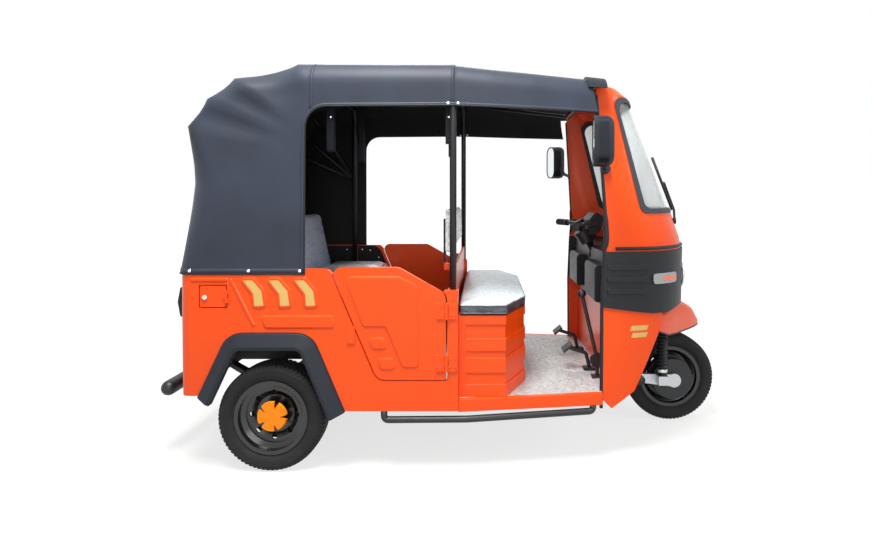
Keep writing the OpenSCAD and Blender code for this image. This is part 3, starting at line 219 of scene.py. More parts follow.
def lampLens(name, colour, fluteMm, clear):  # moulded acrylic with upright flutes, clear or dyed through
    finish, tree, shader, place = newFinish(name, colour, 0.10, IOR=1.49, Transmission_Weight=clear,
                                            Coat_Weight=0.2)
    flute = addNode(tree, "ShaderNodeTexWave", {"Vector": place, "Scale": perMetre(fluteMm) / 6.28},
                    bands_direction="Y")
    bump = addNode(tree, "ShaderNodeBump", {"Height": flute.outputs["Fac"], "Strength": 0.3,
                                            "Distance": 0.002})
    tree.links.new(bump.outputs["Normal"], shader.inputs["Normal"])
    return finish


def creamFilm():  # cut vinyl film stuck on the enamel: flat sheen
    return cloudyFinish("creamFilm", "#E3BE74", 0.42, tone=(30, 3.0, "#D6AF62", "#E2BD74"),
                        Specular_IOR_Level=0.3)


def brightMetal(name, colour, roughness):  # plated or polished metal with fine wiping marks
    return cloudyFinish(name, colour, roughness, rough=(12, 4.0, roughness, roughness + 0.12), Metallic=1.0)


finishes = {
    "paint": orangeEnamel(),
    "blackPaint": blackPowderCoat(),
    "wheelPaint": glossWheelEnamel(),
    "floorPlate": hotDipFloorPlate(),
    "hoodCloth": coatedHoodCloth(),
    "lining": hoodLining(),
    # seat vinyl colours raised far above the vinyl's own grey-blue: painted light, making up for the shade
    # under the hood on the backrest and bench sides
    "seatVinylPaintedLight": wrappedFinish("wrappedSeatVinylPaintedLight", "#C4DCFF", "#E8F2FF", 0.15),
    "cushionFilm": wrappedFinish("wrappedCushionTop", "#B6C9D0", "#D6E2E6", 0.25),
    # bench top film near white, paler than the film's own colour: painted light standing in for the light
    # that reaches the bench under the hood
    "benchFilmPaintedLight": wrappedFinish("wrappedBenchTopPaintedLight", "#DCE9EE", "#F6FBFC", 0.9),
    "cushionSide": wrappedFinish("wrappedCushionSide", "#2C3037", "#59606A", 0.12),
    "restFilm": wrappedFinish("wrappedBackrest", "#868E98", "#E6ECEF", 0.35, (1.6, 1.6, 0.35)),
    "blackPlastic": mouldedPlastic("blackMouldedPlastic", "#191B1F", 0.44, 1.6),
    "greyPlastic": mouldedPlastic("greyMouldedPlastic", "#1B2029", 0.50, 1.6),
    "seal": mouldedPlastic("extrudedSealRubber", "#3B3F46", 0.62, 3),
    "glass": floatGlass("floatGlass", "#EAF3F3"),
    "clearLens": lampLens("clearLampLens", "#E4E9EB", 9, 0.55),
    "amberLens": lampLens("amberLampLens", "#F2600A", 6, 0.08),
    "redLens": lampLens("redLampLens", "#7C1014", 7, 0.15),
    "alloy": sandCastAlloy("sandCastAlloy", "#B9BCC0", 0.42),
    "exhaust": sandCastAlloy("heatDulledSteel", "#6E6A66", 0.5),
    "rubber": tyreRubber(),
    "cap": mouldedPlastic("orangeCapPlastic", "#FF8F0C", 0.36, 3),
    "cream": creamFilm(),
    "zinc": brightMetal("zincPlate", "#C4C7CA", 0.28),
    "nickel": brightMetal("nickelStud", "#E8EAEB", 0.16),
    "mirror": brightMetal("silveredGlass", "#EEF2F3", 0.02),
}
print("finishes made,", len(finishes))

# What each CAD node wears: its finish and the rounding of its edges in mm
nodeWear = {
    "chassis_frame": ("blackPaint", 1.5), "floor_pan": ("floorPlate", 1.0), "sills": ("paint", 3.0),
    "quarter_right": ("paint", 1.6), "quarter_left": ("paint", 1.6), "rear_panel": ("paint", 2.2),
    "tail_lamps": ("redLens", 2.0), "rear_bumper": ("blackPaint", 1.5), "seat_deck": ("blackPaint", 1.5),
    "seat_box": ("paint", 3.0), "engine": ("alloy", 4.0), "partition": ("paint", 2.0),
    "main_hoop": ("blackPaint", 0), "middle_hoop": ("blackPaint", 0), "hood_bows": ("blackPaint", 0),
    "roof_rails": ("blackPaint", 0), "roof_visor": ("greyPlastic", 4.0), "cowl_upper": ("paint", 2.0),
    "cowl_lower": ("paint", 2.0), "nose_band": ("blackPlastic", 2.0), "mudguard": ("paint", 2.0),
    "windscreen": ("glass", 0), "windscreen_seal": ("seal", 2.0), "head_lamps": ("clearLens", 2.0),
    "turn_lamps": ("clearLens", 1.5), "wiper": ("blackPlastic", 0), "mirrors": ("greyPlastic", 6.0),
    "dashboard": ("blackPlastic", 4.0), "bulkhead": ("paint", 1.5), "pedals": ("blackPaint", 1.5),
    "side_steps": ("blackPaint", 0), "arch_flares": ("greyPlastic", 2.5), "rear_axle": ("blackPaint", 2.0),
    "leaf_springs": ("blackPaint", 1.0), "exhaust": ("exhaust", 1.0), "fuel_flap": ("paint", 1.5),
    "door_right": ("paint", 1.6), "door_left": ("paint", 1.6), "handlebar": ("blackPlastic", 2.0),
    "steering_head": ("blackPaint", 1.5), "steering_fork": ("blackPaint", 0), "front_link": ("alloy", 3.0),
    "front_brake": ("blackPaint", 2.0), "front_rim": ("wheelPaint", 1.5),
    "rear_rim_right": ("wheelPaint", 1.5), "rear_rim_left": ("wheelPaint", 1.5),
    "hub_cap_right": ("cap", 2.0), "hub_cap_left": ("cap", 2.0),
}


dress = {"weld": 0.00002, "flatDeg": 0.8, "edgeDeg": 24, "edgeSegments": 2}


def dressNode(name, finish, roundingMm):  # modifiers join the CAD node's faces and round its edges
    node = nodes[name]
    node.data.materials.clear()
    node.data.materials.append(finishes[finish])
    if "custom_normal" in node.data.attributes:
        node.data.attributes.remove(node.data.attributes["custom_normal"])
    node.data.polygons.foreach_set("use_smooth", [True] * len(node.data.polygons))
    join = node.modifiers.new("join", "WELD")
    join.merge_threshold = dress["weld"]
    flat = node.modifiers.new("flat", "DECIMATE")
    flat.decimate_type = "DISSOLVE"
    flat.angle_limit = math.radians(dress["flatDeg"])
    if roundingMm:
        edge = node.modifiers.new("edge", "BEVEL")
        edge.width = roundingMm / 1000
        edge.segments = dress["edgeSegments"]
        edge.limit_method = "ANGLE"
        edge.angle_limit = math.radians(dress["edgeDeg"])
        edge.harden_normals = True


for nodeName, (finishName, rounding) in nodeWear.items():
    dressNode(nodeName, finishName, rounding)
print("nodes dressed,", len(nodeWear))


# Shared mesh making
cornerSigns = ((-1, -1), (1, -1), (1, 1), (-1, 1))


def gridFaces(high, wide, loopRows=False, loopColumns=False):
    faces = []
    for i in range(high if loopRows else high - 1):
        for j in range(wide if loopColumns else wide - 1):
            a, b = i * wide + j, i * wide + (j + 1) % wide
            c, d = ((i + 1) % high) * wide + (j + 1) % wide, ((i + 1) % high) * wide + j
            faces.append((a, b, c, d))
    return faces


def newMesh(name, points, faces, outward=False):  # outward turns the faces of a closed shape to the outside
    mesh = bpy.data.meshes.new(name)
    mesh.from_pydata([tuple(p) for p in points], [], faces)
    if outward:
        shape = bmesh.new()
        shape.from_mesh(mesh)
        bmesh.ops.remove_doubles(shape, verts=shape.verts, dist=1e-6)
        bmesh.ops.recalc_face_normals(shape, faces=shape.faces)
        shape.to_mesh(mesh)
        shape.free()
    return mesh


def addPiece(name, mesh, wear, body, smoothDeg=40, slot=None):
    piece = bpy.data.objects.new(name, mesh)
    scene.collection.objects.link(piece)
    if not mesh.materials:
        for each in [wear] if isinstance(wear, str) else wear:
            mesh.materials.append(finishes[each])
    mesh.polygons.foreach_set("use_smooth", [True] * len(mesh.polygons))
    mesh.set_sharp_from_angle(angle=math.radians(smoothDeg))
    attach(piece, body)
    return piece


def joinMeshes(name, meshes):
    shape = bmesh.new()
    for mesh in meshes:
        shape.from_mesh(mesh)
        bpy.data.meshes.remove(mesh)
    joined = bpy.data.meshes.new(name)
    shape.to_mesh(joined)
    shape.free()
    return joined


def addJoined(name, meshes, *wearing):
    return addPiece(name, joinMeshes(name, meshes), *wearing)


def tubeMesh(name, path, radius, sides=12, closed=False):  # radius is one value or one for each point
    path = [Vector(p) for p in path]
    count = len(path)
    radii = radius if isinstance(radius, list) else [radius] * count
    rings, normal = [], None
    for i, point in enumerate(path):
        before = path[i - 1] if i or closed else point
        after = path[(i + 1) % count] if i < count - 1 or closed else point
        along = (after - before).normalized()
        normal = along.orthogonal() if normal is None else normal - along * normal.dot(along)
        normal.normalize()
        side = along.cross(normal)
        turn = [2 * math.pi * k / sides for k in range(sides)]
        rings.append([point + (normal * math.cos(a) + side * math.sin(a)) * radii[i] for a in turn])
    faces = gridFaces(count, sides, loopRows=closed, loopColumns=True)
    if not closed:
        faces += [tuple(reversed(range(sides))), tuple((count - 1) * sides + k for k in range(sides))]
    return newMesh(name, [p for ring in rings for p in ring], faces)


def lathedMesh(name, profile, centre, axis="Y", segments=48):  # profile holds radius and place on the axis
    points = []
    for k in range(segments):
        a = 2 * math.pi * k / segments
        for radius, along in profile:
            u, v = radius * math.cos(a), radius * math.sin(a)
            offset = {"X": (along, u, v), "Y": (u, along, v), "Z": (u, v, along)}[axis]
            points.append([c + o for c, o in zip(centre, offset)])
    faces = gridFaces(segments, len(profile), loopRows=True)
    return newMesh(name, points, faces, outward=True)


def plateMesh(name, outline, back, front, across="Y"):  # flat outline given thickness along Y or Z
    def place(p, level):
        return (p[0], level, p[1]) if across == "Y" else (p[0], p[1], level)
    count = len(outline)
    points = [place(p, back) for p in outline] + [place(p, front) for p in outline]
    faces = [(k, (k + 1) % count, count + (k + 1) % count, count + k) for k in range(count)]
    faces += [tuple(range(count)), tuple(range(2 * count - 1, count - 1, -1))]
    return newMesh(name, points, faces, outward=True)


def roundedOutline(corners, steps=6):  # corners are x, y and radius
    points = []
    for i, (x, y, radius) in enumerate(corners):
        here = Vector((x, y))
        into = (Vector(corners[i - 1][:2]) - here).normalized()
        out = (Vector(corners[(i + 1) % len(corners)][:2]) - here).normalized()
        if radius <= 0:
            points.append((x, y))
            continue
        half = math.acos(max(-1, min(1, into.dot(out)))) / 2
        centre = here + (into + out).normalized() * radius / math.sin(half)
        first = here + into * radius / math.tan(half) - centre
        sweep = first.angle_signed(here + out * radius / math.tan(half) - centre)
        for k in range(steps + 1):
            a = -sweep * k / steps
            points.append((centre.x + first.x * math.cos(a) - first.y * math.sin(a),
                           centre.y + first.x * math.sin(a) + first.y * math.cos(a)))
    return points


def mergedShape(name):  # a joined copy of a CAD node's loose triangles
    shape = bmesh.new()
    shape.from_mesh(nodes[name].data)
    bmesh.ops.remove_doubles(shape, verts=shape.verts, dist=2e-5)
    return shape


def nodeTarget(name):
    shape = mergedShape(name)
    target = BVHTree.FromBMesh(shape)
    shape.free()
    return target


def fromSide(target, side, x, z):  # place and normal where a level line from that side first meets the target
    return target.ray_cast(Vector((x, side * 2, z)), Vector((0, -side, 0)))[:2]


def boxCentre(name):
    return [(a + b) / 2 for a, b in zip(*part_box(name))]


def camel(text):  # a node's or body's name as a piece's name
    first, *others = text.split("_")
    return first + "".join(word.title() for word in others)


def smoothStep(low, high, value):
    t = max(0.0, min(1.0, (value - low) / (high - low)))
    return t * t * (3 - 2 * t)


# Geometry Nodes trees for what repeats
def newTree(name, inputs):  # inputs are label: socket kind
    tree = bpy.data.node_groups.new(name, "GeometryNodeTree")
    tree.interface.new_socket("Geometry", in_out="INPUT", socket_type="NodeSocketGeometry")
    for label, kind in inputs.items():
        tree.interface.new_socket(label, in_out="INPUT", socket_type=kind)
    tree.interface.new_socket("Geometry", in_out="OUTPUT", socket_type="NodeSocketGeometry")
    return tree, addNode(tree, "NodeGroupInput").outputs


def endTree(tree, source, shape, turn, finishSocket):  # stand the shape on every seed along its aim
    aim = addNode(tree, "GeometryNodeInputNamedAttribute", {"Name": "aim"}, data_type="FLOAT_VECTOR")
    stand = addNode(tree, "FunctionNodeAlignRotationToVector", {"Vector": aim.outputs["Attribute"]}, axis="Z")
    if turn:
        twist = addNode(tree, "GeometryNodeInputNamedAttribute", {"Name": "twist"}, data_type="FLOAT")
        spin = addNode(tree, "FunctionNodeAxisAngleToRotation", {"Angle": twist.outputs["Attribute"]})
        stand = addNode(tree, "FunctionNodeRotateRotation", {"Rotation": stand.outputs["Rotation"],
                                                             "Rotate By": spin.outputs["Rotation"]},
                        rotation_space="LOCAL")
    planted = addNode(tree, "GeometryNodeInstanceOnPoints", {"Points": source, "Instance": shape,
                                                            "Rotation": stand.outputs["Rotation"]})
    real = addNode(tree, "GeometryNodeRealizeInstances", {"Geometry": planted.outputs["Instances"]})
    worn = addNode(tree, "GeometryNodeSetMaterial", {"Geometry": real.outputs["Geometry"],
                                                     "Material": finishSocket})
    addNode(tree, "NodeGroupOutput", {"Geometry": worn.outputs["Geometry"]})


def domedStudTree():  # rivets, snap studs and screw heads: a flattened ball
    tree, given = newTree("domedStuds", {"Head radius": "NodeSocketFloat", "Head height": "NodeSocketFloat",
                                         "Finish": "NodeSocketMaterial"})
    size = addNode(tree, "ShaderNodeCombineXYZ", {"X": given["Head radius"], "Y": given["Head radius"],
                                                  "Z": given["Head height"]})
    ball = addNode(tree, "GeometryNodeMeshUVSphere", {"Segments": 14, "Rings": 8, "Radius": 1.0})
    head = addNode(tree, "GeometryNodeTransform", {"Geometry": ball.outputs["Mesh"],
                                                   "Scale": size.outputs["Vector"]})
    endTree(tree, given["Geometry"], head.outputs["Geometry"], False, given["Finish"])
    return tree


def hexBoltTree():  # bolt heads: a six-sided head on a round washer
    tree, given = newTree("hexBolts", {"Head radius": "NodeSocketFloat", "Head height": "NodeSocketFloat",
                                       "Finish": "NodeSocketMaterial"})
    wide = addNode(tree, "ShaderNodeMath", {0: given["Head radius"], 1: 1.55}, operation="MULTIPLY")
    thin = addNode(tree, "ShaderNodeMath", {0: given["Head height"], 1: 0.5}, operation="MULTIPLY")
    washer = addNode(tree, "GeometryNodeMeshCylinder", {"Vertices": 20, "Radius": wide.outputs["Value"],
                                                        "Depth": thin.outputs["Value"]})
    tall = addNode(tree, "ShaderNodeMath", {0: given["Head height"], 1: 2.0}, operation="MULTIPLY")
    head = addNode(tree, "GeometryNodeMeshCylinder", {"Vertices": 6, "Radius": given["Head radius"],
                                                      "Depth": tall.outputs["Value"]})
    both = addNode(tree, "GeometryNodeJoinGeometry")
    tree.links.new(washer.outputs["Mesh"], both.inputs["Geometry"])
    tree.links.new(head.outputs["Mesh"], both.inputs["Geometry"])
    endTree(tree, given["Geometry"], both.outputs["Geometry"], False, given["Finish"])
    return tree


def treadLugTree():  # lens-shaped lugs rolled into floor plate
    tree, given = newTree("treadLugs", {"Lug length": "NodeSocketFloat", "Lug width": "NodeSocketFloat",
                                        "Lug height": "NodeSocketFloat", "Finish": "NodeSocketMaterial"})
    size = addNode(tree, "ShaderNodeCombineXYZ", {"X": given["Lug length"], "Y": given["Lug width"],
                                                  "Z": given["Lug height"]})
    ball = addNode(tree, "GeometryNodeMeshUVSphere", {"Segments": 10, "Rings": 6, "Radius": 1.0})
    lug = addNode(tree, "GeometryNodeTransform", {"Geometry": ball.outputs["Mesh"],
                                                  "Scale": size.outputs["Vector"]})
    endTree(tree, given["Geometry"], lug.outputs["Geometry"], True, given["Finish"])
    return tree


trees = {"stud": domedStudTree(), "bolt": hexBoltTree(), "lug": treadLugTree()}


def plant(name, treeName, seeds, body, wear, sizes, smoothDeg=40):  # seeds are place, aim and twist
    tree = trees[treeName]
    cloud = bpy.data.meshes.new(name + "Seeds")
    cloud.from_pydata([tuple(s[0]) for s in seeds], [], [])
    aims = [a for seed in seeds for a in seed[1]]
    cloud.attributes.new("aim", "FLOAT_VECTOR", "POINT").data.foreach_set("vector", aims)
    twists = [seed[2] if len(seed) > 2 else 0.0 for seed in seeds]
    cloud.attributes.new("twist", "FLOAT", "POINT").data.foreach_set("value", twists)
    holder = bpy.data.objects.new(name + "Seeds", cloud)
    scene.collection.objects.link(holder)
    grow = holder.modifiers.new("grow", "NODES")
    grow.node_group = tree
    for item in tree.interface.items_tree:
        if item.in_out == "INPUT" and item.name in sizes:
            grow[item.identifier] = sizes[item.name]
        elif item.in_out == "INPUT" and item.name == "Finish":
            grow[item.identifier] = finishes[wear]
    grown = holder.evaluated_get(bpy.context.evaluated_depsgraph_get())
    mesh = bpy.data.meshes.new_from_object(grown)
    mesh.name = name
    bpy.data.objects.remove(holder)
    return addPiece(name, mesh, wear, body, smoothDeg)


# Hood: one sheet laid over the bows, its side edges along the door opening
hood = {"stations": 170, "across": 120, "cloth": 0.0024, "openX": -0.691, "low": 0.912, "turnZ": 1.36,
        "cornerZ": 1.684, "cornerR": 0.095, "postX": -0.012, "postZ": 1.688, "frontX": 0.683,
        "frontZ": 1.6625, "halfWidth": 0.64, "edgeInset": 0.004, "frontLean": 8.7, "cornerRun": 0.16,
        "backTurn": 66, "roofTurn": 24, "scallop": 0.014, "wrinkle": 0.0022,
        "sideY": (0.46, 0.60), "sideRise": (0.15, 0.70), "sideEnd": (0.90, 1.0),  # bounds of the hollows
        "foldRise": (0, 0.12), "foldEnd": (0.85, 1),
        "bows": [(-0.762, 1.902), (-1.066, 1.844), (-1.169, 1.732), (-1.249, 1.600)],
        "shoulders": [(0.912, 0.075), (1.07, 0.105), (1.215, 0.135), (1.33, 0.15), (1.42, 0.125),
                      (1.60, 0.035), (1.73, 0.065), (1.844, 0.145),
                      (1.91, 0.12)]}  # height and radius of the cloth's turn


def hoodEdge():  # door opening from the rear hem up, round the corner and along the roof to the front
    h = hood
    path = [Vector((h["openX"], 0, h["low"])), Vector((h["openX"], 0, h["cornerZ"] - h["cornerR"]))]
    centre = Vector((h["openX"] + h["cornerR"], 0, h["cornerZ"] - h["cornerR"]))
    for k in range(1, 9):
        a = math.radians(180 - 90 * k / 8)
        path.append(centre + Vector((math.cos(a), 0, math.sin(a))) * h["cornerR"])
    path += [Vector((h["postX"], 0, h["postZ"])), Vector((h["frontX"], 0, h["frontZ"]))]
    return path


def alongPath(path, count):
    lengths = [0.0]
    for a, b in zip(path, path[1:]):
        lengths.append(lengths[-1] + (b - a).length)
    found = []
    for k in range(count):
        s = lengths[-1] * k / (count - 1)
        i = max(j for j in range(len(lengths) - 1) if lengths[j] <= s + 1e-9)
        t = (s - lengths[i]) / (lengths[i + 1] - lengths[i])
        found.append(path[i].lerp(path[i + 1], t))
    return found


def hoodLeans(edge):  # direction from the edge to the roof line: backwards low down, upwards at the roof
    leans = []
    for point in edge:
        if point.z < hood["turnZ"] and point.x < hood["openX"] + 0.001:
            angle = 180.0
        elif point.x < hood["postX"]:
            rise = (point.z - hood["turnZ"]) / (hood["cornerZ"] - hood["turnZ"])
            run = (point.x - hood["openX"]) / hood["cornerRun"]
            angle = 180 - hood["backTurn"] * smoothStep(0, 1, rise * 0.8 + run * 0.2)
            angle -= hood["roofTurn"] * smoothStep(0, 1, run)
        else:
            angle = 90 + hood["frontLean"] * smoothStep(0.2, 1, point.x / hood["frontX"])
        leans.append(Vector((math.cos(math.radians(angle)), 0, math.sin(math.radians(angle)))))
    return leans


def shoulderRadius(z):
    rows = hood["shoulders"]
    for (z0, r0), (z1, r1) in zip(rows, rows[1:]):
        if z <= z1:
            return r0 + (r1 - r0) * max(0.0, (z - z0) / (z1 - z0))
    return rows[-1][1]


# Drawn cloth turns from the back or the roof to the side in an arc
def roundShoulders(row, origin, lean, reach, crown):
    if crown.x > hood["bows"][0][0]:
        return row
    radius = shoulderRadius(crown.z)
    wide = max(abs(p.y) for p in row)
    turned = []
    for point in row:
        up, side = (point - origin).dot(lean) - (reach - radius), abs(point.y) - (wide - radius)
        far = math.hypot(up, side)
        if up > 0 and side > 0 and far > radius:
            point = point - lean * up * (1 - radius / far)
            point.y -= math.copysign(side * (1 - radius / far), point.y)
        turned.append(point)
    return turned


def layHood():
    target = nodeTarget("canopy")
    edge = alongPath(hoodEdge(), hood["stations"])
    rows, crowns = [], []
    for point, lean in zip(edge, hoodLeans(edge)):
        origin = point + lean * hood["edgeInset"]
        crown = target.ray_cast(origin + lean * 3, -lean, 3)[0] or target.find_nearest(origin + lean)[0]
        reach = (crown - origin).length
        crowns.append(crown)
        girth = 2 * reach + 2 * hood["halfWidth"]
        row = []
        for k in range(hood["across"] + 1):
            s = girth * k / hood["across"]
            up = min(s, girth - s, reach)
            side = -hood["halfWidth"] + max(0.0, min(s - reach, 2 * hood["halfWidth"]))
            aim = (lean * max(up, 1e-4) + Vector((0, side, 0))).normalized()
            hit = target.ray_cast(origin + aim * 3, -aim, 3)[0]
            row.append(hit or target.find_nearest(origin + aim * math.hypot(up, side))[0])
        rows.append(roundShoulders(row, origin, lean, reach, crown))
    return rows, crowns


def sagHood(rows, crowns):  # cloth hollows between the bows and creases down the sides from each
    marks = sorted(min(range(len(crowns)), key=lambda i: (crowns[i] - Vector((x, 0, z))).length)
                   for x, z in hood["bows"])
    for i, row in enumerate(rows):
        spans = [(a, b) for a, b in zip([0] + marks, marks) if a <= i <= b and a]
        hollow = math.sin(math.pi * (i - spans[0][0]) / (spans[0][1] - spans[0][0])) if spans else 0.0
        low = row[0].lerp(row[-1], 0.5)
        height = (crowns[i] - low).length
        for j, point in enumerate(row):
            rise = min((point - low).dot((crowns[i] - low).normalized()) / height, 1.0)
            onSide = smoothStep(*hood["sideY"], abs(point.y)) * smoothStep(*hood["sideRise"], rise)
            onSide *= 1 - smoothStep(*hood["sideEnd"], rise)
            point.y -= math.copysign(hood["scallop"] * hollow * onSide, point.y)
            ripple = noise.noise(Vector((point.x * 3.1, point.y * 2.0, point.z * 2.2)))
            ripple += 0.5 * noise.noise(Vector((point.x * 8, point.y * 5, point.z * 3 + 7)))
            inward = hood["wrinkle"] * (0.5 + 0.5 * ripple) * smoothStep(*hood["foldRise"], rise)
            inward *= 1 - 0.8 * smoothStep(*hood["foldEnd"], rise)
            toward = (low.lerp(crowns[i], 0.4) - point).normalized()
            row[j] = point + toward * inward
    return rows


hoodRows, hoodCrowns = layHood()
hoodRows = sagHood(hoodRows, hoodCrowns)
hoodFaces = [tuple(reversed(f)) for f in gridFaces(len(hoodRows), len(hoodRows[0]))]
hoodMesh = newMesh("hoodSheet", [p for row in hoodRows for p in row], hoodFaces)
hoodSheet = addPiece("hoodSheet", hoodMesh, ["hoodCloth", "lining"], "body", 60, "hood_vinyl")
thick = hoodSheet.modifiers.new("cloth", "SOLIDIFY")
thick.thickness = hood["cloth"]
thick.offset = -1
thick.material_offset = 1
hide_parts("canopy")


# Tyres: ribs between zigzag grooves, cut shoulders and rings on the walls
tyreSizes = {"pitches": 72, "grooves": (-0.017, 0.017), "grooveWidth": 0.0052, "grooveDepth": 0.006,
             "zigzag": 0.0024, "cutDepth": 0.0038, "crown": 0.002, "crownHalf": 0.0495,
             "cuts": (0.0, 0.62, 0.70, 0.92), "ribEdge": (0.001, 0.0300), "grooveFloor": 0.7}
tyreWall = [(0.1573, 0.0502), (0.1715, 0.0506), (0.1765, 0.0540), (0.1790, 0.0542), (0.1815, 0.0572),
            (0.1950, 0.0648), (0.2070, 0.0674), (0.2165, 0.0668), (0.2178, 0.0674), (0.2205, 0.0672),
            (0.2215, 0.0655), (0.2290, 0.0630)]  # radius and half width from the bead to the shoulder
tyreShoulder = [(0.2365, 0.0592), (0.2425, 0.0545), (0.2448, 0.0495)]
tyreRibs = [0.0440, 0.0340]


def tyreMesh(node):
    low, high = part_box(node)
    centre = boxCentre(node)
    radius = (high[2] - low[2]) / 2
    t = tyreSizes
    points, stations = [], t["pitches"] * 4
    for k in range(stations):
        turn = (k // 4 + t["cuts"][k % 4]) / t["pitches"]
        cut = t["cutDepth"] if k % 4 > 1 else 0.0
        zig = t["zigzag"] * (4 * abs((turn * t["pitches"] / 2) % 1 - 0.5) - 1)
        half = list(tyreWall) + [(r - cut, y) for r, y in tyreShoulder]
        half += [(radius - t["crown"] * (y / t["crownHalf"]) ** 2 - cut, y) for y in tyreRibs]
        half.append((radius - t["ribEdge"][0], t["ribEdge"][1]))
        tread = []
        for groove in reversed(t["grooves"]):
            middle, w = groove + zig, t["grooveWidth"] / 2
            flat = w * t["grooveFloor"]
            for y, deep in ((middle + w, 0), (middle + flat, 1), (middle - flat, 1), (middle - w, 0)):
                tread.append((radius - t["crown"] * (y / t["crownHalf"]) ** 2 - t["grooveDepth"] * deep, y))
        ring = half + tread + [(r, -y) for r, y in reversed(half)]
        a = 2 * math.pi * turn
        points += [(centre[0] + r * math.cos(a), centre[1] + y, centre[2] + r * math.sin(a)) for r, y in ring]
    faces = gridFaces(stations, len(points) // stations, loopRows=True, loopColumns=True)
    return newMesh(node, points, faces, outward=True)


for node, body in (("front_tyre", "front_wheel"), ("rear_tyre_right", "rear_wheel_right"),
                   ("rear_tyre_left", "rear_wheel_left")):
    treaded = addPiece(camel(node), tyreMesh(node), "rubber", body, 35, "tyre_rubber")
    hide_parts(node)
print("tyres cut")


# Cushions: cloth blown up from a slightly smaller copy of the solid, sewn down along its channels
def padBlank(name, node, pad):  # the smaller copy in even faces
    shape = mergedShape(node)
    low, high = (Vector(v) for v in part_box(node))
    middle, size = (low + high) / 2, high - low
    for v in shape.verts:
        for k in range(3):
            v.co[k] = middle[k] + (v.co[k] - middle[k]) * (1 - 2 * pad["inset"] / size[k])
    mesh = bpy.data.meshes.new(name)
    shape.to_mesh(mesh)
    shape.free()
    piece = bpy.data.objects.new(name, mesh)
    scene.collection.objects.link(piece)
    remesh = piece.modifiers.new("voxels", "REMESH")
    remesh.mode = "VOXEL"
    remesh.voxel_size = pad["voxel"]
    mesh = bpy.data.meshes.new_from_object(piece.evaluated_get(bpy.context.evaluated_depsgraph_get()))
    piece.modifiers.clear()
    piece.data = mesh
    mesh.name = name
    return piece, middle


def blowUp(piece, pad):  # pressure swells the cloth between its sewn points, no further than the cap
    mesh = piece.data
    sewn = piece.vertex_groups.new(name="sewn")
    held = [v.index for v in mesh.vertices if pad["held"](v.co, v.normal)]
    sewn.add(held, 1.0, "REPLACE")
    rest = [v.co.copy() for v in mesh.vertices]
    cloth = piece.modifiers.new("swell", "CLOTH")
    cloth.settings.quality = 5
    cloth.settings.mass = 0.25
    cloth.settings.tension_stiffness = pad["tension"]
    cloth.settings.compression_stiffness = pad["tension"]
    cloth.settings.bending_stiffness = 0.4
    cloth.settings.use_pressure = True
    cloth.settings.uniform_pressure_force = pad["pressure"]
    cloth.settings.vertex_group_mass = "sewn"
    cloth.settings.effector_weights.gravity = 0
    cloth.collision_settings.use_collision = False
    cloth.point_cache.frame_start, cloth.point_cache.frame_end = 1, pad["steps"]
    for step in range(1, pad["steps"] + 1):
        scene.frame_set(step)
    swollen = piece.evaluated_get(bpy.context.evaluated_depsgraph_get()).data
    for v, start, grown in zip(mesh.vertices, rest, swollen.vertices):
        move = grown.co - start
        v.co = start + move * min(1.0, pad["cap"] / max(move.length, 1e-6))
    piece.modifiers.remove(cloth)
    scene.frame_set(1)


def foldFilm(mesh, pad, middle):  # loose film lies in small folds
    mesh.update()
    moved = []
    for v in mesh.vertices:
        fold = abs(noise.noise(v.co * pad["fold"]))
        fold += 0.5 * abs(noise.noise(v.co * pad["fold"] * 2.3 + middle))
        moved.append(v.co - v.normal * pad["foldDepth"] * (1 - min(1.0, 2.2 * fold)))
    for v, co in zip(mesh.vertices, moved):
        v.co = co


def swellPad(name, node, pad, body):
    piece, middle = padBlank(name, node, pad)
    mesh = piece.data
    blowUp(piece, pad)
    foldFilm(mesh, pad, middle)
    mesh.materials.clear()
    for each in pad["wear"]:
        mesh.materials.append(finishes[each])
    mesh.polygons.foreach_set("use_smooth", [True] * len(mesh.polygons))
    if len(pad["wear"]) > 1:  # the second finish is for the sides; upward faces take the first, paler finish, which is partly the film's own colour and partly painted light falling on the top
        for face in mesh.polygons:
            face.material_index = 0 if face.normal.z > 0.6 and face.center.z > middle.z else 1
    finer = piece.modifiers.new("finer", "SUBSURF")
    finer.levels = finer.render_levels = 1
    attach(piece, body)
    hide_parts(node)
    return piece


def sewnLines(places, axis, width):  # channels across one axis, sewn where the pad faces the sitter
    return lambda co: any(abs(co[axis] - at) < width for at in places)


padSizes = {"inset": 0.007, "voxel": 0.012, "tension": 14, "pressure": 4.0, "steps": 20, "fill": 0.7}
sewing = {"ys": (-0.29, 0.0, 0.29), "zs": (0.93, 1.07), "width": 0.006}
seatSeams = sewnLines(sewing["ys"], 1, sewing["width"])
backRows = sewnLines(sewing["zs"], 2, sewing["width"])
driverPad = {**padSizes, "voxel": 0.010, "cap": 0.013, "fold": 17.0, "foldDepth": 0.0022,
             "wear": ["cushionFilm", "cushionSide"],
             "held": lambda co, normal: normal.z < -0.7 or 0.30 < normal.z < 0.92}
benchPad = {**padSizes, "cap": 0.014, "fold": 15.0, "foldDepth": 0.0022, "wear": ["benchFilmPaintedLight", "seatVinylPaintedLight"],
            "held": lambda co, normal: normal.z < -0.7 or (normal.z > 0.5 and seatSeams(co))}
backPad = {**padSizes, "cap": 0.016, "fold": 14.0, "foldDepth": 0.0024, "wear": ["seatVinylPaintedLight"],
           "held": lambda co, normal: normal.x < -0.6 or (normal.x > 0.4 and (seatSeams(co) or backRows(co)))}
restPad = {**padSizes, "inset": 0.006, "voxel": 0.008, "cap": 0.012, "fold": 19.0, "foldDepth": 0.0030,
           "wear": ["restFilm"], "fill": 0.6, "held": lambda co, normal: normal.x < -0.8}
driverCushion = swellPad("driverCushion", "driver_cushion", driverPad, "body")
benchCushion = swellPad("benchCushion", "passenger_cushion", benchPad, "body")
swellPad("benchBack", "passenger_backrest", backPad, "body")
swellPad("driverRest", "driver_backrest", restPad, "body")
print("cushions blown up")


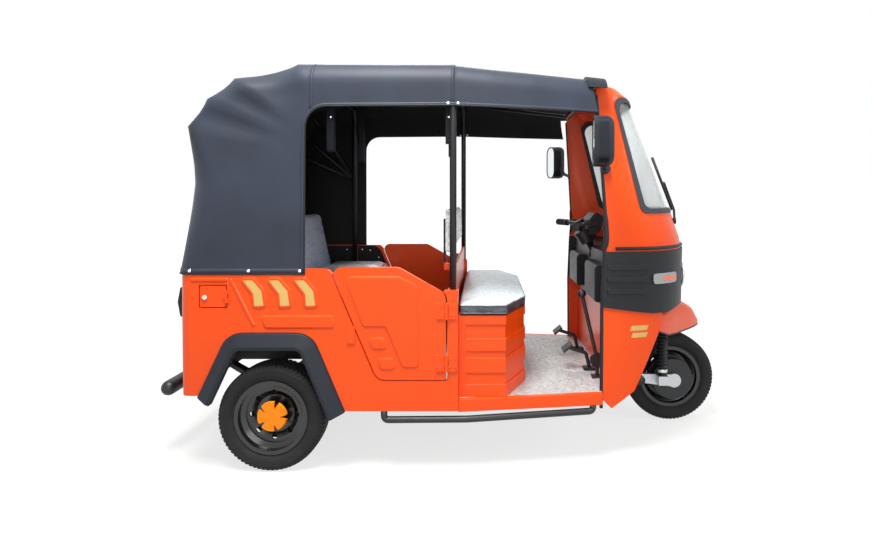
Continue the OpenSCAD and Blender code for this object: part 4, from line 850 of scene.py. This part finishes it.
def padEdge(piece, level, count, lift):  # the outline of a pad at one height, found from outside
    target = BVHTree.FromObject(piece, bpy.context.evaluated_depsgraph_get())
    corners = [Vector(c) for c in piece.bound_box]
    middle = sum(corners, Vector()) / 8
    middle.z = level
    path = []
    for k in range(count):
        a = 2 * math.pi * k / count
        aim = Vector((math.cos(a), math.sin(a), 0))
        hit, normal = target.ray_cast(middle + aim * 2, -aim, 2)[:2]
        if hit:
            path.append(hit + normal * lift)
    return path


welt = {"radius": 0.0034, "points": 220, "lift": 0.0006, "driverZs": (0.756, 0.722), "benchDrop": 0.016}
weltLines = [(driverCushion, z) for z in welt["driverZs"]]
weltLines.append((benchCushion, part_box("passenger_cushion")[1][2] - welt["benchDrop"]))
weltMeshes = [tubeMesh("welt", padEdge(piece, level, welt["points"], welt["lift"]), welt["radius"], 8, True)
              for piece, level in weltLines]
addJoined("cushionWelts", weltMeshes, "cushionSide", "body", 60)
print("welts sewn")


# Hood trim: hem and edge bands, piping, seam tapes, studs and hand straps
trim = {"lift": 0.0014, "bandRows": 3, "piping": 0.0042, "tapeHalf": 0.008, "seams": (-0.668, -0.012),
        "tapeSteps": 140, "tapeSweep": 1.24, "tapeBelow": 0.12, "cloth": 0.0016,
        "studXs": (-1.223, -0.952, -0.716), "studYs": (-0.42, 0.0, 0.42),
        "studZ": 0.927, "postStudXs": (-0.034, 0.012), "postStudZ": 1.700, "tapeZ": 1.25, "seat": 0.001,
        "studHead": {"Head radius": 0.0085, "Head height": 0.0050}}
hoodTarget = BVHTree.FromPolygons([v.co for v in hoodMesh.vertices],
                                  [tuple(f.vertices) for f in hoodMesh.polygons])


def raised(point, lift):
    spot, normal = hoodTarget.find_nearest(point)[:2]
    return spot + normal * lift


def bandMesh(name, strips):  # strips of points lying on the hood, lifted off it; they take the cloth's finish where they are joined
    points = [raised(p, trim["lift"]) for strip in strips for p in strip]
    return newMesh(name, points, gridFaces(len(strips), len(strips[0])))


bands = [bandMesh("hemBand", hoodRows[:trim["bandRows"]]),
         bandMesh("nearBand", [row[:2] for row in hoodRows]),
         bandMesh("farBand", [row[-2:] for row in hoodRows])]
for seamX in trim["seams"]:
    strips = []
    for k in range(trim["tapeSteps"]):
        a = math.pi * (k + 0.5) / trim["tapeSteps"] * trim["tapeSweep"] - math.pi * trim["tapeBelow"]
        aim = Vector((0, -math.cos(a), math.sin(a)))
        ends = [hoodTarget.ray_cast(Vector((seamX + dx, 0, trim["tapeZ"])), aim, 2)[0]
                for dx in (-trim["tapeHalf"], trim["tapeHalf"])]
        if all(ends):
            strips.append([e + aim * trim["seat"] for e in ends])
    bands.append(newMesh("tape", [p for strip in strips for p in strip], gridFaces(len(strips), 2)))
hoodBands = addJoined("hoodBands", bands, "hoodCloth", "body", 60, "hood_vinyl")
thick = hoodBands.modifiers.new("cloth", "SOLIDIFY")
thick.thickness = trim["cloth"]
thick.offset = 0

edges = [hoodRows[0], [row[0] for row in hoodRows], [row[-1] for row in hoodRows]]
pipes = [tubeMesh("pipe", [raised(p, trim["seat"]) for p in edge], trim["piping"], 8) for edge in edges]
addJoined("hoodPiping", pipes, "blackPlastic", "body", 60)
studSeeds = [(fromSide(hoodTarget, side, x, trim["studZ"])[0], (0, side, 0))
             for side in (-1, 1) for x in trim["studXs"]]
studSeeds += [(hoodTarget.ray_cast(Vector((-3, y, trim["studZ"])), Vector((1, 0, 0)))[0], (-1, 0, 0))
              for y in trim["studYs"]]
studSeeds += [(fromSide(hoodTarget, side, x, trim["postStudZ"])[0], (0, side, 0))
              for x in trim["postStudXs"] for side in (-1, 1)]
plant("hoodStuds", "stud", studSeeds, "body", "nickel", trim["studHead"])

strap = {"width": 0.035, "thick": 0.004, "gap": 0.012, "side": 0.43, "studZ": 1.667, "farBack": 0.044,
         "rows": ((-0.632, 1.872, 1.492), (-0.042, 1.876, 1.531)),  # x, top and low end
         "studOut": 0.016, "studHead": {"Head radius": 0.009, "Head height": 0.004}}


def strapMesh(x, y, top, low):  # webbing looped over the roof rail, hanging to a rounded end
    def loop(inset):
        r = strap["gap"] + strap["thick"] - inset
        turn = [math.pi * k / 8 for k in range(9)]
        under = [(y + r * math.cos(math.pi + a), low + r * (1 + math.sin(math.pi + a))) for a in turn]
        over = [(y + r * math.cos(a), top + r * math.sin(a)) for a in turn]
        return under + over
    count = len(loop(0.0))
    points = []
    for x0 in (x - strap["width"] / 2, x + strap["width"] / 2):
        for ring in (loop(0.0), loop(strap["thick"])):
            points += [(x0, p[0], p[1]) for p in ring]
    order = [0, 1, 3, 2]  # outer and inner of one edge, then inner and outer of the other
    faces = []
    for a, b in zip(order, order[1:] + order[:1]):
        for k in range(count):
            after = (k + 1) % count
            faces.append((a * count + k, a * count + after, b * count + after, b * count + k))
    return newMesh("strap", points, faces, outward=True)


strapSpots = [(x - strap["farBack"] * (side > 0), side, top, low)
              for x, top, low in strap["rows"] for side in (-1, 1)]
strapMeshes = [strapMesh(x, side * strap["side"], top, low) for x, side, top, low in strapSpots]
addJoined("handStraps", strapMeshes, "greyPlastic", "body", 50)
strapSeeds = [((x, side * (strap["side"] + strap["studOut"]), strap["studZ"]), (0, side, 0))
              for x, side, top, low in strapSpots]
plant("strapStuds", "stud", strapSeeds, "body", "nickel", strap["studHead"])
print("hood trimmed")


# Floor plate: rolled lugs, alternate ones turned a quarter
lugs = {"pitch": 0.034, "length": 0.0145, "width": 0.0042, "height": 0.0016, "clear": 0.02, "rows": 17,
        "above": 0.6, "fields": ((0.36, 0.742), (-0.50, -0.045))}  # fields from x to x
floorTarget = nodeTarget("floor_pan")
around = [(lugs["clear"], 0), (-lugs["clear"], 0), (0, lugs["clear"]), (0, -lugs["clear"])]
lugSeeds = []
for x0, x1 in lugs["fields"]:
    for i in range(int((x1 - x0) / lugs["pitch"])):
        for j in range(-lugs["rows"], lugs["rows"] + 1):
            spot = Vector((x0 + (i + 0.5) * lugs["pitch"], j * lugs["pitch"], lugs["above"]))
            hit = floorTarget.ray_cast(spot, Vector((0, 0, -1)))[0]
            near = [floorTarget.ray_cast(spot + Vector((dx, dy, 0)), Vector((0, 0, -1)))[0]
                    for dx, dy in around]
            if hit and all(near) and max(n.z for n in near) - min(n.z for n in near) < 1e-4:
                lugSeeds.append((hit, (0, 0, 1), math.radians(45 if (i + j) % 2 else -45)))
plant("floorLugs", "lug", lugSeeds, "body", "floorPlate",
      {"Lug length": lugs["length"], "Lug width": lugs["width"], "Lug height": lugs["height"]}, 60)
print("floor lugs,", len(lugSeeds))


# Cut film on the pressed forms of the quarters and on the leg shield
film = {"thick": 0.0005, "pitch": 0.119, "count": 3, "sunk": 0.0002, "slant": 0.35,
        "chevron": [(-0.124, 0.883), (-0.076, 0.822), (-0.071, 0.766), (-0.030, 0.768), (-0.039, 0.834),
                    (-0.081, 0.883)],  # x from the rear axle and z
        "stripes": ((0.846, 0.934, 0.620, 0.644), (0.852, 0.930, 0.586, 0.609))}  # x to x, z to z
rearAxleX = boxCentre("rear_tyre_right")[0]


def filmOn(target, outline, side, cells=14):  # film laid over a curved panel from the side
    low = [min(p[k] for p in outline) for k in (0, 1)]
    high = [max(p[k] for p in outline) for k in (0, 1)]
    slope = film["slant"] * (high[1] - low[1])
    points = []
    for i in range(cells + 1):
        for j in range(4):
            z = low[1] + (high[1] - low[1]) * j / 3
            x = low[0] + (high[0] - low[0]) * i / cells + slope * (j / 3 - 1)
            points.append(fromSide(target, side, x, z)[0] + Vector((0, side, 0)) * film["thick"])
    return newMesh("film", points, gridFaces(cells + 1, 4))


filmMeshes = []
for side in (-1, 1):
    quarterTarget = nodeTarget("quarter_right" if side < 0 else "quarter_left")
    for k in range(film["count"]):
        outline = [(rearAxleX + x + film["pitch"] * k, z) for x, z in film["chevron"]]
        x, z = (sum(p[k] for p in outline) / len(outline) for k in (0, 1))
        face = fromSide(quarterTarget, side, x, z)[0].y
        filmMeshes.append(plateMesh("film", outline, face - side * film["sunk"], face + side * film["thick"]))
    shieldTarget = nodeTarget("cowl_lower")
    for x0, x1, z0, z1 in film["stripes"]:
        filmMeshes.append(filmOn(shieldTarget, [(x0, z0), (x1, z1)], side))
addJoined("filmStripes", filmMeshes, "cream", "body", 50)
print("film cut")


# Front: edge rubber down the pillars, bead over the nose band, lamp trim, mirrors, shock absorber
cowl = {"power": 2 / 2.6, "frontX": 1.188, "rows": [  # height, rear and front from the front axle, half width
    (0.236, -0.488, -0.020, 0.512), (0.480, -0.488, 0.000, 0.522), (0.726, -0.488, 0.014, 0.528),
    (1.003, -0.476, 0.020, 0.528), (1.060, -0.465, 0.008, 0.527), (1.185, -0.470, -0.038, 0.522),
    (1.480, -0.488, -0.158, 0.510), (1.770, -0.507, -0.277, 0.492)]}


def cowlRow(z):
    for a, b in zip(cowl["rows"], cowl["rows"][1:]):
        if z <= b[0]:
            t = (z - a[0]) / (b[0] - a[0])
            return [p + (q - p) * t for p, q in zip(a, b)]
    return list(cowl["rows"][-1])


def cowlPoint(z, degrees, off):
    row = cowlRow(z)
    rear, front, wide = cowl["frontX"] + row[1], cowl["frontX"] + row[2] + off, row[3] + off
    c, s = math.cos(math.radians(degrees)), math.sin(math.radians(degrees))
    return Vector((rear + (front - rear) * max(s, 0) ** cowl["power"],
                   -wide * math.copysign(abs(c) ** cowl["power"], c), z))


pillarTrim = {"radius": 0.0085, "padRadius": 0.013, "padFrom": 1.03, "padTo": 1.17, "padEase": 0.01,
              "from": 0.245, "to": 1.765, "stations": 80, "inset": 0.004}
rubberMeshes = []
for degrees in (0.0, 180.0):
    path, radii = [], []
    p, ease = pillarTrim, pillarTrim["padEase"]
    for k in range(p["stations"]):
        z = p["from"] + (p["to"] - p["from"]) * k / (p["stations"] - 1)
        path.append(cowlPoint(z, degrees, -p["inset"]))
        padded = smoothStep(p["padFrom"] - ease, p["padFrom"] + ease, z)
        padded *= 1 - smoothStep(p["padTo"] - ease, p["padTo"] + ease, z)
        radii.append(p["radius"] + (p["padRadius"] - p["radius"]) * padded)
    rubberMeshes.append(tubeMesh("rubber", path, radii, 12))
bead = {"z": 1.018, "radius": 0.0085, "points": 120, "fromDeg": 3, "turnDeg": 174, "off": 0.002}
path = [cowlPoint(bead["z"], bead["fromDeg"] + bead["turnDeg"] * k / (bead["points"] - 1), bead["off"])
        for k in range(bead["points"])]
rubberMeshes.append(tubeMesh("bead", path, bead["radius"], 12))
addJoined("edgeRubber", rubberMeshes, "blackPlastic", "body", 60)

lampTrim = {"y": 0.232, "z": 0.862, "radius": 0.072, "ring": 0.007, "back": 0.016, "lift": 0.0008,
            "amberY": 0.45, "amberCells": (16, 3), "amber": (1.012, 1.091, 0.858, 0.881)}  # x to x, z to z
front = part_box("head_lamps")[1][0] - lampTrim["back"]
ring = [(lampTrim["radius"] + lampTrim["ring"] * math.cos(a), front + lampTrim["ring"] * math.sin(a))
        for a in [2 * math.pi * k / 12 for k in range(12)]]
bezels = [lathedMesh("bezel", ring + ring[:1], (0, side * lampTrim["y"], lampTrim["z"]), "X", 64)
          for side in (-1, 1)]
addJoined("lampBezels", bezels, "zinc", "body", 60)
amberMeshes = []
turnTarget = nodeTarget("turn_lamps")
x0, x1, z0, z1 = lampTrim["amber"]
long, tall = lampTrim["amberCells"]
for side in (-1, 1):
    points = []
    for i in range(long + 1):
        for j in range(tall + 1):
            x, z = x0 + (x1 - x0) * i / long, z0 + (z1 - z0) * j / tall
            hit, normal = fromSide(turnTarget, side, x, z)
            if hit is None:
                hit, normal = turnTarget.find_nearest(Vector((x, side * lampTrim["amberY"], z)))[:2]
            points.append(hit + normal * lampTrim["lift"])
    amberMeshes.append(newMesh("amber", points, gridFaces(long + 1, tall + 1)))
addJoined("turnStrips", amberMeshes, "amberLens", "body", 60, "amber_lens")

mirrorHead = {"half": (0.066, 0.112), "corner": 0.055, "toeIn": {-1: 7.0, 1: 16.0}, "lip": 0.007,
              "sunk": 0.0025, "behind": 0.003, "pocket": 0.0008, "glassGap": 0.0003, "z": 1.513, "y": 0.744,
              "shell": [(0.034, 0.0745), (0.0185, 0.0722), (0.0085, 0.0640), (0.0025, 0.0540),
                        (0.0, 0.0440)]}  # inset of each ring and its place from the rear
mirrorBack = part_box("mirrors")[0][0]
housingMeshes, glassMeshes = [], []


# The glass is toed in to the driver, so the outer rim stands deeper
def mirrorRing(side, inset, ahead, tilted):
    half = [h - inset for h in mirrorHead["half"]]
    corners = [(a * half[0], b * half[1], mirrorHead["corner"] - inset)
               for a, b in cornerSigns]
    slope = math.tan(math.radians(mirrorHead["toeIn"][side])) * tilted
    return [(mirrorBack - mirrorHead["behind"] * tilted + ahead - (mirrorHead["half"][0] + a) * slope,
             side * (mirrorHead["y"] + a), mirrorHead["z"] + b) for a, b in roundedOutline(corners)]


for side in (-1, 1):
    rings = [mirrorRing(side, inset, ahead, 0) for inset, ahead in mirrorHead["shell"]]
    rings += [mirrorRing(side, 0.0, 0.0, 1), mirrorRing(side, mirrorHead["lip"], 0.0, 1),
              mirrorRing(side, mirrorHead["lip"], mirrorHead["sunk"] + mirrorHead["pocket"], 1)]
    count = len(rings[0])
    faces = gridFaces(len(rings), count, loopColumns=True)
    faces += [tuple(range(count)), tuple((len(rings) - 1) * count + k for k in range(count))]
    housingMeshes.append(newMesh("housing", [p for each in rings for p in each], faces, outward=True))
    pane = mirrorRing(side, mirrorHead["lip"] + mirrorHead["glassGap"], mirrorHead["sunk"], 1)
    face = range(count) if side < 0 else reversed(range(count))
    glassMeshes.append(newMesh("glass", pane, [tuple(face)]))
addJoined("mirrorHousings", housingMeshes, "greyPlastic", "body", 50)
addJoined("mirrorGlass", glassMeshes, "mirror", "body", 40)

bellows = {"x": 1.112, "y": -0.1555, "low": 0.328, "high": 0.520, "wide": 0.0325, "narrow": 0.0255,
           "folds": 10,  # then radius and height of the ends and the collar
           "foot": [(0.001, 0.289), (0.013, 0.289), (0.013, 0.306), (0.026, 0.306), (0.027, 0.309),
                    (0.027, 0.323), (0.025, 0.326), (0.022, 0.328)],
           "head": [(0.020, 0.5215), (0.013, 0.5225), (0.013, 0.535), (0.001, 0.535)],
           "collar": [(0.020, 0.308), (0.0285, 0.308), (0.0292, 0.311), (0.0292, 0.321), (0.0285, 0.324),
                      (0.020, 0.324)]}
shockAxis = (bellows["x"], bellows["y"], 0)
profile = list(bellows["foot"])
for k in range(bellows["folds"] * 6 + 1):
    share = k / (bellows["folds"] * 6)
    wave = 0.5 - 0.5 * math.cos(2 * math.pi * share * bellows["folds"])
    profile.append((bellows["narrow"] + (bellows["wide"] - bellows["narrow"]) * wave,
                    bellows["low"] + (bellows["high"] - bellows["low"]) * share))
profile += bellows["head"]
boot = addPiece("shockBoot", lathedMesh("shockBoot", profile, shockAxis, "Z", 40), "blackPlastic",
                "steering", 50, "black_paint")
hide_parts("front_shock")
collar = lathedMesh("shockCollar", bellows["collar"], shockAxis, "Z", 40)
addPiece("shockCollar", collar, "zinc", "steering", 40)
print("front trimmed")


# Small hardware
screws = {"plateX": (-0.082, -0.062), "postX": (-0.022, -0.002), "zs": (0.502, 0.742), "spread": 0.019,
          "face": 0.6455, "head": {"Head radius": 0.0048, "Head height": 0.0028}}


def hingeScrews(side, xs):
    return [((x, side * screws["face"], z + dz), (0, side, 0)) for x in xs for z in screws["zs"]
            for dz in (-screws["spread"], screws["spread"])]


for side, door in ((-1, "right_door"), (1, "left_door")):
    plant(camel(door) + "Screws", "stud", hingeScrews(side, screws["plateX"]), door, "paint", screws["head"])
postSeeds = hingeScrews(-1, screws["postX"]) + hingeScrews(1, screws["postX"])
plant("postScrews", "stud", postSeeds, "body", "paint", screws["head"])

nuts = {"ring": 0.081, "count": 5, "inner": 0.004, "head": {"Head radius": 0.0072, "Head height": 0.0056}}
for node, body, side in (("rear_tyre_right", "rear_wheel_right", -1),
                         ("rear_tyre_left", "rear_wheel_left", 1)):
    centre = boxCentre(node)
    seeds = []
    for k in range(nuts["count"]):
        a = 2 * math.pi * (k + 0.5) / nuts["count"]
        seeds.append(((centre[0] + nuts["ring"] * math.cos(a), centre[1] - side * nuts["inner"],
                       centre[2] + nuts["ring"] * math.sin(a)), (0, side, 0)))
    plant(camel(body) + "Nuts", "bolt", seeds, body, "wheelPaint", nuts["head"])

lock = {"x": -1.152, "z": 0.806, "slotHalf": (0.0012, 0.005), "slot": (0.003, 0.0037),
        "profile": [(0.0005, 0.0035), (0.00903, 0.0035), (0.0105, 0.0025), (0.0105, -0.001),
                    (0.0005, -0.001)]}  # radius and how far it stands out
flapY = fromSide(nodeTarget("fuel_flap"), -1, lock["x"], lock["z"])[0].y
lockProfile = [(radius, flapY - out) for radius, out in lock["profile"]]
lockBarrel = lathedMesh("flapLock", lockProfile, (lock["x"], 0, lock["z"]), "Y", 36)
addPiece("flapLock", lockBarrel, "nickel", "filler_flap", 40)
slotOutline = [(lock["x"] + a * lock["slotHalf"][0], lock["z"] + b * lock["slotHalf"][1])
               for a, b in cornerSigns]
slot = plateMesh("flapLockSlot", slotOutline, flapY - lock["slot"][0], flapY - lock["slot"][1])
addPiece("flapLockSlot", slot, "blackPlastic", "filler_flap", 40)

boards = {"y": 0.6146, "thick": 0.0030, "outlines": [
    [(-1.215, 0.724, 0.01), (-0.7795, 0.724, 0.002), (-0.7795, 0.931, 0.002), (-1.215, 0.931, 0.02)],
    [(-0.7445, 0.724, 0.002), (-0.512, 0.724, 0.01), (-0.590, 0.908, 0.06), (-0.632, 0.931, 0.05),
     (-0.7445, 0.931, 0.002)]],  # x, z and corner radius
    "studs": ((-1.16, 0.905), (-0.98, 0.905), (-0.82, 0.905), (-0.715, 0.905), (-0.660, 0.900),
              (-0.600, 0.850), (-0.565, 0.775)),
    "studHead": {"Head radius": 0.0055, "Head height": 0.0025}}
boardMeshes, boardStuds = [], []
for side in (-1, 1):
    outer, inner = side * boards["y"], side * (boards["y"] - boards["thick"])
    boardMeshes += [plateMesh("board", roundedOutline(corners), outer, inner)
                    for corners in boards["outlines"]]
    boardStuds += [((x, inner, z), (0, -side, 0)) for x, z in boards["studs"]]
addJoined("trimBoards", boardMeshes, "lining", "body", 40)
plant("boardStuds", "stud", boardStuds, "body", "nickel", boards["studHead"])
print("hardware fixed")


# Tail lamps: a wedge-shaped lens between two end plates
tail = {"profile": [(-1.2730, 0.668), (-1.322, 0.698), (-1.334, 0.765), (-1.322, 0.832), (-1.2805, 0.858)],
        "inner": 0.4295, "outer": 0.5405, "plate": 0.003, "rounding": 0.006}
tailLenses, tailEnds = [], []
for side in (-1, 1):
    tailLenses.append(plateMesh("lens", tail["profile"], side * tail["inner"], side * tail["outer"]))
    for level, out in ((tail["inner"], -tail["plate"]), (tail["outer"], tail["plate"])):
        tailEnds.append(plateMesh("end", tail["profile"], side * level, side * (level + out)))
lenses = addJoined("tailLampLenses", tailLenses, "redLens", "body", 30)
soft = lenses.modifiers.new("round", "BEVEL")
soft.width = tail["rounding"]
soft.segments = 3
addJoined("tailLampEnds", tailEnds, "blackPlastic", "body", 30)


# Brake drums behind the wheels' slots
drum = {"outer": 0.122, "inner": 0.060, "near": 0.020, "far": 0.052, "ribs": 5, "rib": 0.003}
for node, body, side in (("front_tyre", "front_wheel", 1), ("rear_tyre_right", "rear_wheel_right", -1),
                         ("rear_tyre_left", "rear_wheel_left", 1)):
    centre = boxCentre(node)
    profile = [(drum["inner"], -side * drum["near"])]
    for k in range(drum["ribs"] * 2 + 1):
        along = drum["near"] + (drum["far"] - drum["near"]) * k / (drum["ribs"] * 2)
        profile.append((drum["outer"] - drum["rib"] * (k % 2), -side * along))
    profile += [(drum["inner"], -side * drum["far"]), (drum["inner"], -side * drum["near"])]
    name = camel(body) + "Drum"
    addPiece(name, lathedMesh(name, profile, centre, "Y", 64), "blackPaint", body, 30)

# Black sleeves over the stays of the driver's backrest
stay = {"back": -0.082, "front": -0.0705, "y": 0.250, "half": 0.015, "wall": 0.0014, "gap": 0.0003,
        "low": 0.920, "high": 1.1504}
sleeves = []
for side in (-1, 1):
    y0, y1 = side * stay["y"] - stay["half"], side * stay["y"] + stay["half"]
    x0, x1, w, gap = stay["back"], stay["front"], stay["wall"], stay["gap"]
    trough = [(x1, y0 - w), (x0 - w, y0 - w), (x0 - w, y1 + w), (x1, y1 + w),
              (x1, y1 + gap), (x0 - gap, y1 + gap), (x0 - gap, y0 - gap), (x1, y0 - gap)]
    sleeves.append(plateMesh("sleeve", trough, stay["low"], stay["high"], "Z"))
    lid = [(x0 - w, y0 - w), (x1, y0 - w), (x1, y1 + w), (x0 - w, y1 + w)]
    sleeves.append(plateMesh("sleeveLid", lid, stay["high"], stay["high"] + w, "Z"))
addJoined("staySleeves", sleeves, "blackPlastic", "body", 30)

# Ribbed rubber grips on the handlebar
grip = {"outer": (0.6062, 0.3275, 1.110), "inner": (0.6496, 0.2292, 1.110), "low": 0.0184, "high": 0.0202,
        "ribs": 13}
gripMeshes = []
for side in (-1, 1):
    ends = [Vector((p[0], side * p[1], p[2])) for p in (grip["outer"], grip["inner"])]
    count = grip["ribs"] * 4
    path = [ends[0].lerp(ends[1], k / count) for k in range(count + 1)]
    radii = [grip["high"] if k % 4 in (1, 2) or k > count - 6 or k < 3 else grip["low"]
             for k in range(count + 1)]
    gripMeshes.append(tubeMesh("grip", path, radii, 20))
addJoined("handleGrips", gripMeshes, "blackPlastic", "steering", 40)

# Black rubber edge along the foot of the front mudguard
guardEdge = {"from": 1.016, "to": 1.340, "stations": 48, "radius": 0.0042, "low": 0.50, "high": 0.66,
             "step": 0.001, "inset": 0.002}
guardTarget = nodeTarget("mudguard")
edgeMeshes = []
for side in (-1, 1):
    path = []
    for k in range(guardEdge["stations"]):
        x = guardEdge["from"] + (guardEdge["to"] - guardEdge["from"]) * k / (guardEdge["stations"] - 1)
        z = guardEdge["low"]
        hit = None
        while z < guardEdge["high"] and hit is None:
            hit = guardTarget.ray_cast(Vector((x, side * 1.0, z)), Vector((0, -side, 0)), 1.0)[0]
            z += guardEdge["step"]
        if hit:
            path.append(hit - Vector((0, side * guardEdge["inset"], 0)))
    edgeMeshes.append(tubeMesh("edge", path, guardEdge["radius"], 10))
addJoined("guardEdge", edgeMeshes, "blackPlastic", "body", 60)
print("tail lamps, drums, grips and edges fitted")


# Studio: pale floor that keeps the shadow, white behind it, soft lamps
studio = {"floorHalf": 30, "aim": (0, 0, 0.9), "ambient": 0.30,
          "near": (1.6, 0.72), "far": (6.0, 0.96),  # distance from the object and the floor's glow there
          "lamps": {  # name: place, watts, size
              "keyLamp": ((-0.6, -2.0, 4.9), 315, 1.6), "fillLamp": ((0.4, -5.6, 1.9), 72, 2.5),
              "frontLamp": ((4.4, -2.2, 3.2), 66, 2.0), "farLamp": ((-0.3, 3.0, 4.0), 80, 1.6)}}


# One value for the eye, mirrors and glass, another for the light on the object
def seenDirect(tree, unseen, seen):
    path = addNode(tree, "ShaderNodeLightPath").outputs
    either = addNode(tree, "ShaderNodeMath", {0: path["Is Camera Ray"], 1: path["Is Glossy Ray"]},
                     operation="MAXIMUM")
    either = addNode(tree, "ShaderNodeMath", {0: either.outputs["Value"], 1: path["Is Transmission Ray"]},
                     operation="MAXIMUM")
    return addNode(tree, "ShaderNodeMapRange", {"Value": either.outputs["Value"], "To Min": unseen,
                                                "To Max": seen}).outputs["Result"]


def makeStudio():
    half = studio["floorHalf"]
    corners = [(a * half, b * half, 0) for a, b in cornerSigns]
    floorMesh = newMesh("studioFloor", corners, [(0, 1, 2, 3)])
    floor = bpy.data.objects.new("studioFloor", floorMesh)
    scene.collection.objects.link(floor)
    finish, tree, shader, place = newFinish("studioFloor", "#8E8E8C", 0.9, Emission_Color=(1, 1, 1, 1))
    away = addNode(tree, "ShaderNodeVectorMath", {0: place}, operation="LENGTH")  # whiter further out
    (nearBy, dim), (farOff, bright) = studio["near"], studio["far"]
    white = addNode(tree, "ShaderNodeMapRange", {"Value": away.outputs["Value"], "From Min": nearBy,
                                                 "From Max": farOff, "To Min": dim, "To Max": bright})
    lit = addNode(tree, "ShaderNodeMath", {0: seenDirect(tree, 0.0, 1.0), 1: white.outputs["Result"]},
                  operation="MULTIPLY")
    tree.links.new(lit.outputs["Value"], shader.inputs["Emission Strength"])
    floorMesh.materials.append(finish)
    world = bpy.data.worlds.new("studioWorld")
    scene.world = world
    world.use_nodes = True
    tree = world.node_tree
    tree.nodes.clear()
    strength = seenDirect(tree, studio["ambient"], 1.0)
    glow = addNode(tree, "ShaderNodeBackground", {"Color": (1, 1, 1, 1), "Strength": strength})
    addNode(tree, "ShaderNodeOutputWorld", {"Surface": glow.outputs["Background"]})
    for name, (spot, watts, size) in studio["lamps"].items():
        data = bpy.data.lights.new(name, "AREA")
        data.energy = watts
        data.size = size
        lamp = bpy.data.objects.new(name, data)
        lamp.location = spot
        lamp.rotation_euler = (Vector(studio["aim"]) - Vector(spot)).to_track_quat("-Z", "Y").to_euler()
        scene.collection.objects.link(lamp)


makeStudio()
scene.view_settings.view_transform = "Standard"
print("studio made")
